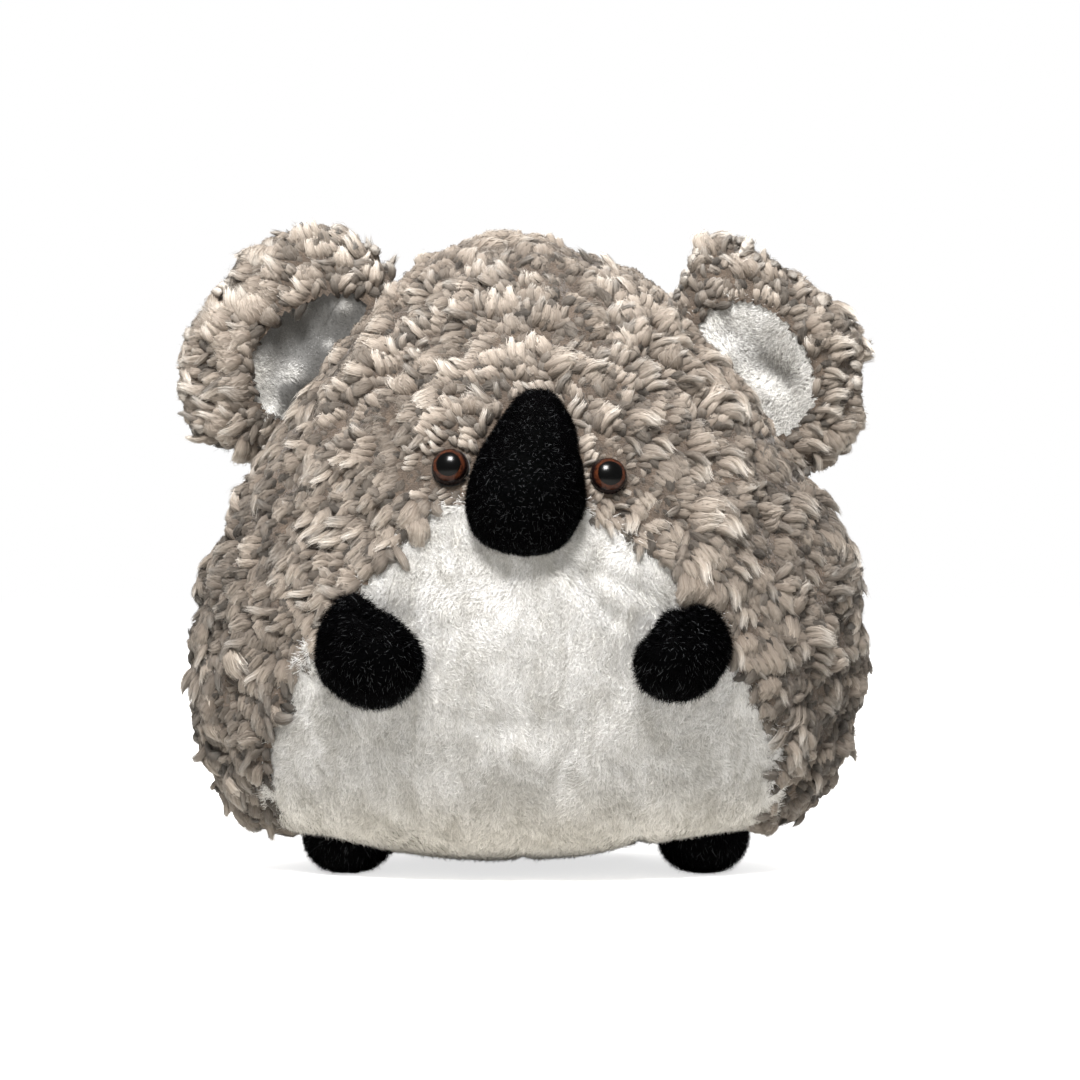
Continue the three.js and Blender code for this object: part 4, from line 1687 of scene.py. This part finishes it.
    @staticmethod
    def flow(points: Array, normals: Array) -> Array:
        """Which way the fleece lies: away from the middle of the face, and down over the lower body.

        Args:
            points: Places on the cloth.
            normals: The cloth's normals there.

        Returns:
            The lay directions.
        """
        out = points - np.array((2.0, -66.0, 172.0))
        out[:, 1] *= 0.35
        out = unit(out)
        down = ease((150 - points[:, 2]) / 110)[:, None]
        behind = ease((points[:, 1] + 10) / 30)[:, None]
        lay = out * (1 - 0.55 * down) + DOWN * 0.7 * down
        rear = np.column_stack([points[:, 0] / 160, np.zeros(len(points)), np.full(len(points), -0.9)])
        return lay * (1 - behind) + rear * behind

    def bare(self, points: Array) -> Array:
        """Tells where no lock grows: under the belly, nose and eyes, and on the underside.

        Args:
            points: Places on the cloth.

        Returns:
            True where none grows.
        """
        x, z, wide, tall = self.nose_clear
        nose = (points[:, 1] < 0) & ((((points[:, 0] - x) / wide) ** 2 + ((points[:, 2] - z) / tall) ** 2) < 1)
        eyes = np.zeros(len(points), bool)
        for eye in self.eyes:
            eyes |= np.linalg.norm(points - eye, axis=1) < self.eye_clear
        base = points[:, 2] < self.underside(points) + self.base_clear
        return self.on_belly(points, self.overlap) | nose | eyes | base

    def lock_size(self, points: Array) -> Array:
        """How large the locks grow: shorter by the eyes, where they are pressed down.

        Args:
            points: Their roots.

        Returns:
            Shares of the full size.
        """
        near = np.ones(len(points))
        for eye in self.eyes:
            near = np.minimum(near, 0.55 + 0.45 * ease((np.linalg.norm(points - eye, axis=1) - 9) / 12))
        return near

    def dress(self, shop: Workshop, pile: FleecePile, shapes: Sequence[Patch]) -> None:
        """Makes the body's pieces.

        Args:
            shop: The workshop.
            pile: How the fleece grows.
            shapes: The patches of its locks.
        """
        rng = np.random.default_rng(self.seed)
        cloth = self.shaped(280, 190, -self.backing)
        points = cloth.points
        front = keep_faces(cloth, (points[:, 1] < 1e-3) & ~self.on_belly(points, 5.0))
        back = keep_faces(cloth, points[:, 1] > -1e-3)
        for name, patch in (("front", front), ("back", back)):
            shop.piece(f"{name}_fleece_backing", patch, "ground", node=f"{name}_panel")

        bed = Bed(Surface(cloth), self.flow, lambda at: ~self.bare(at), self.lock_size)
        curls = pile.grow(bed, rng)
        head, upper = self.head_from, self.upper_back_from
        zones: dict[str, Zone] = {
            "head_curls": lambda at: (at[:, 1] < 0) & (at[:, 2] >= head),
            "left_side_curls": lambda at: (at[:, 1] < 0) & (at[:, 2] < head) & (at[:, 0] < 0),
            "right_side_curls": lambda at: (at[:, 1] < 0) & (at[:, 2] < head) & (at[:, 0] >= 0),
            "back_upper_curls": lambda at: (at[:, 1] >= 0) & (at[:, 2] >= upper),
            "back_lower_curls": lambda at: (at[:, 1] >= 0) & (at[:, 2] < upper),
        }
        for name, zone in zones.items():
            shop.piece(name, curls.grown(shapes, zone), "curls")
        shop.piece("fleece_fuzz", pile.fuzz(bed, rng), "curls")

        plush = self.belly()
        shop.piece("belly_plush_backing", with_values(plush, 0.25), "white", node="belly_panel")
        shop.piece("belly_pile", self.belly_pile(plush, rng), "white")
        wadding = self.shaped(80, 60, -self.backing - 6.0)
        shop.piece("body_wadding", with_values(wadding, 0.6), "wadding", node="body_filling")

    def belly_pile(self, plush: Patch, rng: np.random.Generator) -> Patch:
        """The belly's short pile and the longer fibres that lap over the fleece at its edge.

        Args:
            plush: The belly's cloth.
            rng: The source of the draws.

        Returns:
            The fibres.
        """
        cloth = Surface(plush)
        roots, normals = cloth.draw(4.6, rng)
        swirl = Grain(self.seed + 9)
        lay = brushed(DOWN, normals, 1.3 * swirl.at(roots, 17.0) + 0.5 * swirl.at(roots, 5.0))
        inner = PileCut(2.9, 0.24, 34, 40, 34).blades(roots, normals, lay, rng)
        roots, normals = cloth.draw(6.0, rng)
        low, high = self.belly_span(roots[:, 2])
        edge = np.minimum(roots[:, 0] - low, high - roots[:, 0])
        rim = (edge < 4.5) | (roots[:, 2] > 152) | (roots[:, 2] < 6)
        roots, normals, low, high = roots[rim], normals[rim], low[rim], high[rim]
        aside = np.sign(roots[:, 0] - (low + high) / 2)
        out = np.column_stack([aside, np.zeros(len(roots)), np.full(len(roots), -0.35)])
        outer = PileCut(4.4, 0.27, 50, 26, 30).blades(roots, normals, along_surface(out, normals), rng)
        return Patch.joined([inner, outer])


@dataclass
class Nose:
    """The tall padded nose."""

    seat: Spot = (1.73, -71.92, 166.95)
    across: Spot = (0.99841, -0.0076, -0.05582)
    upward: Spot = (0.05615, 0.21431, 0.97515)
    form: StuffedForm = StuffedForm(
        (
            (0, 0, 0), (0.03, 0.48, 0.36), (0.1, 0.76, 0.64), (0.22, 0.94, 0.88), (0.34, 1, 1), (0.46, 0.94, 0.98),
            (0.58, 0.84, 0.92), (0.73, 0.68, 0.8), (0.87, 0.48, 0.58), (0.96, 0.28, 0.34), (1, 0, 0),
        ),
        -34.5, 69, 24.5, 19, 12,
    )
    outline: Outline = (
        (5, 202), (-7.8, 193.5), (-13.7, 183.6), (-19.7, 171.7), (-23.6, 160), (-24, 150), (-19.7, 140), (-9.8, 135),
        (2, 133), (14, 136), (21, 144), (25, 154), (24.3, 164), (21.5, 175.6), (20, 187.5), (15, 198),
    )
    seed: int = 21

    def dress(self, shop: Workshop) -> None:
        """Makes the nose's cover, pile and filling.

        Args:
            shop: The workshop.
        """
        across, upward = np.array(self.across), np.array(self.upward)
        place = Place(np.array(self.seat), np.column_stack([across, np.cross(upward, across), upward]))
        rng = np.random.default_rng(self.seed)
        cover = self.form.ball(-2.0, 96, 80)
        cover.points += 0.7 * Grain(self.seed).at(cover.points, 13.0)[:, None] * cover.facing()
        cover = fitted(cover.put(place), self.outline, 1.6)
        shop.piece("nose_velour", with_values(cover, 0.2), "black", node="nose_cover")
        roots, normals = Surface(cover).draw(11.0, rng)
        showing = place.into(roots)[:, 1] < 6
        roots, normals = roots[showing], normals[showing]
        lay = brushed(np.array((0.0, -0.2, -1.0)), normals, 1.2 * Grain(self.seed + 1).at(roots, 6.0))
        pile = PileCut(2.3, 0.17, 24, 34, 70).blades(roots, normals, lay, rng)
        shop.piece("nose_pile", pile, "black")
        filling = self.form.ball(-5.2, 28, 20).put(place)
        shop.piece("nose_wadding", with_values(filling, 0.6), "wadding", node="nose_filling")


@dataclass
class Ear:
    """An ear: a curly cup with a plush lining sunk in its front.

    A dent is its X, Z, size and depth, a bulge of the rim its X, size and millimetres, and a pale patch of the lining
    its X, Z, size and how much lighter it is, all in the ear's own frame. The pale patches are partly the plush's own
    colour, partly painted glints, painted shade in a dent and a painted highlight on a fold.
    """

    side: Side
    lining: Outline
    dents: tuple[tuple[float, ...], ...]
    bulges: tuple[Spot, ...]
    pale: tuple[tuple[float, ...], ...]
    tone: float
    form: StuffedForm = StuffedForm(
        (
            (-0.25, 0, 0), (-0.22, 0.5, 0.35), (-0.1, 0.88, 0.52), (0.04, 0.95, 0.64), (0.22, 0.99, 0.82),
            (0.43, 0.97, 0.97), (0.64, 0.84, 0.98), (0.82, 0.61, 0.8), (0.94, 0.35, 0.5), (1, 0, 0),
        ),
        0, 58, 51, 14, 14,
    )
    backing: float = 2.5
    seed: int = 41

    def place(self, shop: Workshop) -> Place:
        """The ear's seam, read from its joint.

        Args:
            shop: The workshop.

        Returns:
            The seam's place.
        """
        joint = shop.joints[f"{self.side.value}_ear_fold"]
        seam = unit(np.array(joint["axis"]))
        return Place(shop.maker(joint["pos_m"]), np.column_stack([seam, BACKWARDS, np.cross(seam, BACKWARDS)]))

    def pulled(self, patch: Patch) -> Patch:
        """The ear with its rim pulled out or pressed in where it isn't round.

        Args:
            patch: The round ear.

        Returns:
            The same patch, moved.
        """
        points = patch.points
        for at, size, much in self.bulges:
            share = hump(points[:, 0], at, size) * ease(points[:, 2] / 30)
            reach = unit(np.column_stack([points[:, 0], np.zeros(len(points)), points[:, 2] + 1e-6]))
            points = points + reach * (much * share)[:, None]
        patch.points = points
        return patch

    def edge(self, angle: Array) -> Array:
        """The lining's outline as a distance from its middle, for angles round it."""
        return reach_at(self.lining, self.middle, angle)

    @property
    def middle(self) -> Array:
        """The middle of the lining's outline."""
        return np.array(self.lining).mean(axis=0)

    def on_lining(self, inner: Array, margin: float) -> Array:
        """Tells which points of the ear's own frame lie on its lining.

        Args:
            inner: The points.
            margin: How far inside the edge, in millimetres.

        Returns:
            True for those on it.
        """
        flat = inner[:, [0, 2]] - self.middle
        reach = np.linalg.norm(flat, axis=1)
        return (inner[:, 1] < 2) & (reach < self.edge(np.arctan2(flat[:, 1], flat[:, 0])) - margin)

    def lining_sheet(self) -> Patch:
        """The sunk plush lining, in the ear's own frame.

        Returns:
            The sheet.
        """
        angle = np.linspace(0, FULL_TURN, 161)
        share = np.linspace(0.001, 1, 56)
        reach = self.edge(angle) + 0.8
        flat = self.middle + (share[:, None] * reach)[:, :, None] * np.column_stack([np.cos(angle), np.sin(angle)])
        flat = flat.reshape(-1, 2)
        rings = np.repeat(share, len(angle))
        deep = self.form.front_depth(flat[:, 0], np.maximum(flat[:, 1], 0.5), -self.backing)
        sunk = 4.5 * (1 - rings**2.2) + 1.5
        for x, z, size, depth in self.dents:
            sunk += depth * np.exp(-(((flat[:, 0] - x) / size) ** 2 + ((flat[:, 1] - z) / (0.45 * size)) ** 2))
        points = np.column_stack([flat[:, 0], np.minimum(sunk - deep, 1.5), flat[:, 1]])
        points[:, 1] += 0.6 * Grain(self.seed + 4).at(points, 10.0)
        return sheet(points.reshape(len(share), len(angle), 3))

    def lining_tone_with_painted_light(self, inner: Array) -> Array:
        """How light the lining's plush is, by its patches: some its own pale colour, others painted glints, painted
        shade in its dent and a painted highlight on its fold.

        Args:
            inner: Points in the ear's own frame.

        Returns:
            Tones from 0 to 1.
        """
        tone = np.full(len(inner), self.tone)
        for x, z, size, much in self.pale:
            tone += much * np.exp(-(((inner[:, 0] - x) / size) ** 2 + ((inner[:, 2] - z) / size) ** 2))
        return np.clip(tone, 0.03, 1.0)

    def dress(self, shop: Workshop, pile: FleecePile, shapes: Sequence[Patch]) -> None:
        """Makes the ear's cover, locks, lining and filling.

        Args:
            shop: The workshop.
            pile: How the fleece grows.
            shapes: The patches of its locks.
        """
        name, place = f"{self.side.value}_ear", self.place(shop)
        seam = Seam(name, *place.out(np.array(((0.0, 0.0, -2.0), (0.0, 0.0, 9.0)))))
        rng = np.random.default_rng(self.seed)
        whole = self.pulled(self.form.ball(-self.backing, 120, 90))
        whole.points += 0.9 * Grain(self.seed).at(whole.points, 15.0)[:, None] * whole.facing()
        keep = (whole.points[:, 2] > -7.0) & ~self.on_lining(whole.points, 3.0)
        shop.piece(f"{name}_backing", keep_faces(whole, keep).put(place), "ground", seam, f"{name}_cover")

        def flow(points: Array, normals: Array) -> Array:
            """Away from the ear's root, and a little down.

            Args:
                points: The roots.
                normals: The cloth's normals there.

            Returns:
                The lays.
            """
            inner = place.into(points)
            out = np.column_stack([inner[:, 0], np.zeros(len(inner)), inner[:, 2] + 6])
            return place.turn(unit(out) + np.array((0, 0, 0.15))) + np.array((0, 0, -0.2))

        def allowed(points: Array) -> Array:
            """Off the lining and clear of the seam, which lies lower at its two ends."""
            inner = place.into(points)
            return (inner[:, 2] > 1.5 - 6.0 * (np.abs(inner[:, 0]) > 34)) & ~self.on_lining(inner, 2.7)

        bed = Bed(Surface(whole.put(place)), flow, allowed, lambda at: np.full(len(at), 0.95))
        shop.piece(f"{name}_curls", pile.grow(bed, rng).grown(shapes), "curls", seam)
        bed = replace(bed, scale=lambda at: np.full(len(at), 0.9))
        shop.piece(f"{name}_fuzz", pile.fuzz(bed, rng), "curls", seam)

        lining = self.lining_sheet().put(place)
        if np.mean(lining.facing() @ BACKWARDS) > 0:
            lining.quads = lining.quads[:, ::-1]
        with_values(lining, 0.35).values["tone"] = self.lining_tone_with_painted_light(place.into(lining.points))
        shop.piece(f"{name}_plush", lining, "satin", seam, f"{name}_lining")
        roots, normals = Surface(lining).draw(4.5, rng)
        inner, count = place.into(roots), len(roots)
        out = place.turn(unit(np.column_stack([inner[:, 0] * 0.3, np.zeros(count), np.full(count, -20.0)])))
        # light carries the lining's tone patches, painted glints and painted shade among them, into the pile's
        # lengths and tones.
        lay, light = brushed(out, normals, 1.2 * Grain(self.seed + 7).at(roots, 14.0)), self.lining_tone_with_painted_light(inner)
        blades = PileCut(3.0, 0.26, 44, 30, 30).blades(roots, normals, lay, rng, np.clip(0.25 + light, 0.35, 1.0))
        blades.values["tone"] = np.repeat(light, len(blades.points) // count) + 0.12 * (blades.values["tone"] - 0.5)
        shop.piece(f"{name}_plush_pile", blades, "satin", seam)
        filling = self.form.ball(-self.backing - 3.5, 30, 22)
        filling.points[:, 1] = np.maximum(filling.points[:, 1], 3.0)
        filling = with_values(keep_faces(filling, filling.points[:, 2] > -4).put(place), 0.6)
        shop.piece(f"{name}_wadding", filling, "wadding", seam, f"{name}_filling")


@dataclass
class Limb:
    """A paw or foot: a velour pad with its pile and filling.

    Its clear is how far the body's front surface is moved out before what lies behind it is cut away.
    """

    name: str
    form: StuffedForm
    place: Place
    lay: Spot
    hold: str | Seam
    outline: Outline = ()
    clear: float = -20.0
    sole: bool = False
    seed: int = 61

    def dress(self, shop: Workshop, body: Body) -> None:
        """Makes the limb's cover, pile and filling.

        Args:
            shop: The workshop.
            body: What the limb is sewn to.
        """
        rng = np.random.default_rng(self.seed)
        cover = self.form.ball(-1.8, 84, 64)
        cover.points += 0.6 * Grain(self.seed).at(cover.points, 12.0)[:, None] * cover.facing()
        cover = cover.put(self.place)
        if self.outline:
            cover = fitted(cover, self.outline, 1.4)
        if self.sole:
            cover.points[:, 2] = np.maximum(cover.points[:, 2], 0.4)
        cut = with_values(keep_faces(cover, ~body.inside_front(cover.points, self.clear)), 0.2)
        shop.piece(f"{self.name}_velour", cut, "black", self.hold, f"{self.name}_cover")
        roots, normals = Surface(cut).draw(7.5, rng)
        lay = brushed(np.array(self.lay), normals, 0.9 * Grain(self.seed + 1).at(roots, 6.0))
        facing = np.sum(normals * np.array(self.lay), axis=1)
        pile = PileCut(3.2, 0.22, 28, 30, 45).blades(roots, normals, lay, rng, 1 + 0.4 * np.clip(facing, 0, 1))
        if self.sole:
            pile.points[:, 2] = np.maximum(pile.points[:, 2], 0.1 + 0.4 * rng.random(len(pile.points)))
        shop.piece(f"{self.name}_pile", pile, "black", self.hold)
        filling = self.form.ball(-4.6, 48, 36).put(self.place)
        if self.outline:
            filling = fitted(filling, self.outline, 5.0)
        filling = keep_faces(filling, ~body.inside_front(filling.points, self.clear))
        if self.sole:
            filling.points[:, 2] = np.maximum(filling.points[:, 2], 2.0)
        shop.piece(f"{self.name}_wadding", with_values(filling, 0.6), "wadding", self.hold, f"{self.name}_filling")


@dataclass
class Eye:
    """A moulded safety eye: a glossy dome with a painted iris on a ribbed shank."""

    side: Side
    seat: Spot
    outward: Spot
    radius: float = 7.5
    rise: float = 6.5
    base: float = 2.4

    def dress(self, shop: Workshop) -> None:
        """Makes the dome and finishes the shank and washer behind it.

        Args:
            shop: The workshop.
        """
        outward = unit(np.array(self.outward))
        across = unit(np.cross(UP, outward))
        place = Place(np.array(self.seat), np.column_stack([across, np.cross(outward, across), outward]))
        angle = np.linspace(0, math.pi / 2, 28)
        lip = [(self.radius * 0.93, 0.0), (self.radius, 0.25), (self.radius, 0.7)]
        dome = [(self.radius * 0.985 * math.cos(a), 0.8 + (self.rise - 0.8) * math.sin(a)) for a in angle[:-1]]
        profile = np.array([(0.001, 0.0), *lip, *dome, (0.001, self.rise)])
        turns = np.linspace(0, FULL_TURN, 73)[:-1]
        flat, height = profile[:, :1], np.repeat(profile[:, 1:] + self.base, len(turns), axis=1)
        rows = np.stack([flat * np.cos(turns), flat * np.sin(turns), height], axis=-1)
        patch = sheet(np.concatenate([rows, rows[:, :1]], axis=1))
        patch.values = {"radius": np.linalg.norm(patch.points[:, :2], axis=1) / self.radius}
        name = f"{self.side.value}_eye"
        shop.piece(f"{name}_resin", patch.put(place), "eye", node=f"{name}_dome")
        for part in ("shank", "washer"):
            materials = shop.frame["nodes"][f"{name}_{part}"].data.materials
            materials.clear()
            materials.append(shop.finishes[part].material)


def pawed(shop: Workshop, side: Side, turn: float) -> Limb:
    """A paw hanging from the belly's side seam.

    Args:
        shop: The workshop.
        side: Which paw.
        turn: Degrees from square to its seam.

    Returns:
        The paw.
    """
    joint = shop.joints[f"{side.value}_paw_lift"]
    seam = unit(np.array(joint["axis"]))
    away = unit(np.array((-side.sign * 0.75589, -0.24369, -0.60766)))
    axes = np.column_stack([seam, np.cross(away, seam), away])
    rise, roll = math.radians(6), math.radians(-side.sign * turn)
    tip = np.array(((1, 0, 0), (0, math.cos(rise), -math.sin(rise)), (0, math.sin(rise), math.cos(rise))))
    swing = np.array(((math.cos(roll), 0, math.sin(roll)), (0, 1, 0), (-math.sin(roll), 0, math.cos(roll))))
    origin = shop.maker(joint["pos_m"])
    place = Place(origin + axes @ (tip @ np.array((0, 0, 21.0))), axes @ tip @ swing)
    rows = (
        (0, 0, 0, 0), (0.07, 0.52, 0.14, 0.3), (0.17, 0.8, 0.34, 0.55), (0.29, 0.94, 0.62, 0.8),
        (0.43, 1, 0.88, 0.95), (0.59, 0.99, 1, 1), (0.75, 0.89, 0.95, 0.95), (0.88, 0.68, 0.74, 0.75),
        (0.965, 0.4, 0.42, 0.45), (1, 0, 0, 0),
    )
    form = StuffedForm(rows, -26, 52, 21.5, 17, 9)
    lay = tuple(unit(place.turn(np.array((0.0, 0.0, 1.0))) + np.array((0, 0, -0.7))))
    name, outline = f"{side.value}_paw", LEFT_PAW if side is Side.LEFT else RIGHT_PAW
    bend = Seam(name, origin + PAW_BEND[0] * away, origin + PAW_BEND[1] * away)
    return Limb(name, form, place, lay, bend, outline, seed=61 + int(side.sign))


def footed(side: Side) -> Limb:
    """A foot sewn under the front edge.

    Args:
        side: Which foot.

    Returns:
        The foot.
    """
    rows = (
        (0, 0, 0), (0.03, 0.36, 0.36), (0.12, 0.68, 0.68), (0.28, 0.92, 0.92), (0.48, 1, 1),
        (0.7, 0.92, 0.92), (0.88, 0.68, 0.68), (0.97, 0.36, 0.36), (1, 0, 0),
    )
    form = StuffedForm(rows, -0.5, 34, 19.5, 23, 23)
    place = Place(np.array((side.sign * 75.0, -16.0, 0.0)), np.eye(3))
    seed = 71 + int(side.sign)
    return Limb(f"{side.value}_foot", form, place, (0.0, -0.6, -0.8), "cushion", clear=-9.0, sole=True, seed=seed)


@dataclass(frozen=True)
class Studio:
    """The white floor, the soft lights and the camera."""

    camera: Spot = (6.05, -900.0, 140.0)
    lens: float = 69.44
    fill: float = 0.28

    def lit(self, shop: Workshop) -> None:
        """Sets up the floor, lights, backdrop colour and camera.

        Args:
            shop: The workshop, for where the maker's frame lies.
        """
        scene = bpy.context.scene
        scene.view_settings.view_transform = "Standard"
        world = bpy.data.worlds.new("white_room")
        scene.world = world
        world.use_nodes = True
        graph = Graph(world.node_tree)
        seen = graph.add("LightPath").outputs["Is Camera Ray"]
        strength = graph.ranged(seen, to=(self.fill, 1.0))
        background = graph.add("Background", Color=(1.0, 1.0, 1.0), Strength=strength)
        graph.add("OutputWorld", _0=background.outputs[0])
        self.area("key", (-0.12, -0.76, 1.13), (0.0, 0.0, 0.12), 0.36, 43.5, (1.0, 0.985, 0.965))
        self.area("back_glow", (0.0, 1.5, 0.85), (0.0, 0.0, 0.12), 1.2, 27.0, (1.0, 0.99, 0.98))
        self.floor()
        data = bpy.data.cameras.new("camera")
        data.lens, data.sensor_width = self.lens, 36.0
        camera = bpy.data.objects.new("camera", data)
        camera.location = shop.row(np.array(self.camera))
        camera.rotation_euler = (math.pi / 2, 0.0, 0.0)
        scene.collection.objects.link(camera)
        scene.camera = camera

    @staticmethod
    def area(name: str, place: Spot, target: Spot, size: float, power: float, colour: Colour) -> None:
        """Hangs a soft light.

        Args:
            name: Its name.
            place: Where it hangs, in metres.
            target: Where it points.
            size: Its side in metres.
            power: Watts.
            colour: Its colour.
        """
        data = bpy.data.lights.new(name, "AREA")
        data.size, data.energy, data.color = size, power, colour
        light = bpy.data.objects.new(name, data)
        light.location = place
        light.rotation_euler = (Vector(target) - Vector(place)).to_track_quat("-Z", "Y").to_euler()
        bpy.context.scene.collection.objects.link(light)

    @staticmethod
    def floor() -> None:
        """Lays the pale floor."""
        steps = np.linspace(-4.0, 4.0, 9)
        grid = np.stack(np.meshgrid(steps, steps), axis=-1)
        points = np.concatenate([grid, np.zeros((9, 9, 1))], axis=-1)
        patch = sheet(points)
        mesh = bpy.data.meshes.new("floor")
        mesh.from_pydata(patch.points.tolist(), [], patch.quads.tolist())
        material, graph, shader = opened_material("white_floor")
        noise = graph.add("TexNoise", Scale=40.0, Detail=2.0).outputs[0]
        pale = graph.mixed(noise, (0.93, 0.93, 0.93), (0.95, 0.95, 0.95))
        seen = graph.add("LightPath").outputs["Is Camera Ray"]
        graph.feed(
            shader,
            Base_Color=graph.mixed(seen, (0.66, 0.65, 0.62), pale),
            Roughness=0.9,
            Emission_Color=(1.0, 1.0, 1.0),
            Emission_Strength=graph.maths("MULTIPLY", seen, 0.72),
        )
        mesh.materials.append(material)
        floor = bpy.data.objects.new("floor", mesh)
        bpy.context.scene.collection.objects.link(floor)


PAW_BEND = (4.0, 16.0)
LEFT_PAW = (
    (-69, 121), (-79, 112), (-83, 100), (-82, 88.5), (-75, 80.6), (-59, 74.7), (-47, 78.6), (-39.5, 90.5),
    (-39.5, 96.4), (-45, 104), (-59, 112),
)
RIGHT_PAW = (
    (72, 116), (81, 106), (82.5, 96), (77, 86.5), (65, 77.8), (53.6, 78.6), (44.5, 84.6), (43, 94.5),
    (45.6, 100), (55.5, 103.6), (63.5, 110),
)
LEFT_LINING = (
    (-35.4, -1.5), (-36.0, 7.7), (-32.2, 19.5), (-22.3, 28.1), (-13.9, 30.8), (-1.2, 30.5), (13.2, 23.3),
    (26.5, 13.8), (32.5, 4.0), (30.0, -3.0), (15.3, -4.0), (0.0, -4.0), (-18.0, -4.0),
)
RIGHT_LINING = (
    (-33.7, 0.0), (-34.7, 12.7), (-28.2, 23.8), (-16.2, 31.1), (-1.3, 33.6), (15.1, 30.7), (24.5, 25.5),
    (32.0, 17.5), (32.7, 4.6), (28.0, -3.0), (10.0, -4.0), (-10.0, -4.0), (-26.0, -4.0),
)


def main() -> None:
    """Builds the cushion and its setting, one sub-assembly after another."""
    shop = Workshop(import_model())
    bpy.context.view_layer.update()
    Studio().lit(shop)
    pile = FleecePile()
    shapes = pile.shapes()
    eyes = {
        Side.LEFT: ((-29.49, -64.26, 168.45), (-0.1215, -0.9647, 0.2338)),
        Side.RIGHT: ((33.0, -64.65, 164.9), (0.1345, -0.964, 0.2293)),
    }
    body = Body(eyes=tuple(seat for seat, _ in eyes.values()))
    body.dress(shop, pile, shapes)
    Nose().dress(shop)
    for side, (seat, outward) in eyes.items():
        Eye(side, seat, outward).dress(shop)
    Ear(
        Side.LEFT,
        LEFT_LINING,
        dents=((4, 18, 16, 2.5), (-18, 8, 12, -1.5), (-34, 10, 5, -2.0)),
        bulges=((-30, 26, 6.0), (-46, 16, 4.5), (-60, 12, 3.5), (-5, 13, -2.0), (14, 12, 2.0), (38, 14, 2.0)),
        pale=(
            # The plush's own white patch at the lower left, with a grey spot in it.
            (-22, 25, 8, 0.9), (-32, 14, 8, 0.9), (-14, 12, 5, 0.6), (-22, 7, 5, -0.8), (-36, 2, 7, 0.8),
            # Painted glints on the satin.
            (23, 8, 3, 0.6), (5, 5, 2, 0.5), (13, 23, 3, 0.4),
        ),
        tone=0.03,
        seed=41,
    ).dress(shop, pile, shapes)
    Ear(
        Side.RIGHT,
        RIGHT_LINING,
        dents=((-4, 13, 16, 4.0), (8, 18, 9, 2.5), (12, 9, 6, -1.5)),
        bulges=((-52, 11, 11.0), (-18, 20, -4.0), (34, 16, -4.0)),
        # Painted shade along the lining's dent, then a painted highlight on the fold below it.
        pale=((-20, 10, 5, -0.4), (-10, 11, 6, -0.42), (0, 15, 6, -0.42), (9, 21, 6, -0.38), (8, 7, 6, 0.15)),
        tone=0.95,
        seed=47,
    ).dress(shop, pile, shapes)
    pawed(shop, Side.LEFT, 32).dress(shop, body)
    pawed(shop, Side.RIGHT, 20).dress(shop, body)
    for side in Side:
        footed(side).dress(shop, body)


if __name__ == "__main__":
    logging.basicConfig(level=logging.INFO, format="%(message)s")
    main()
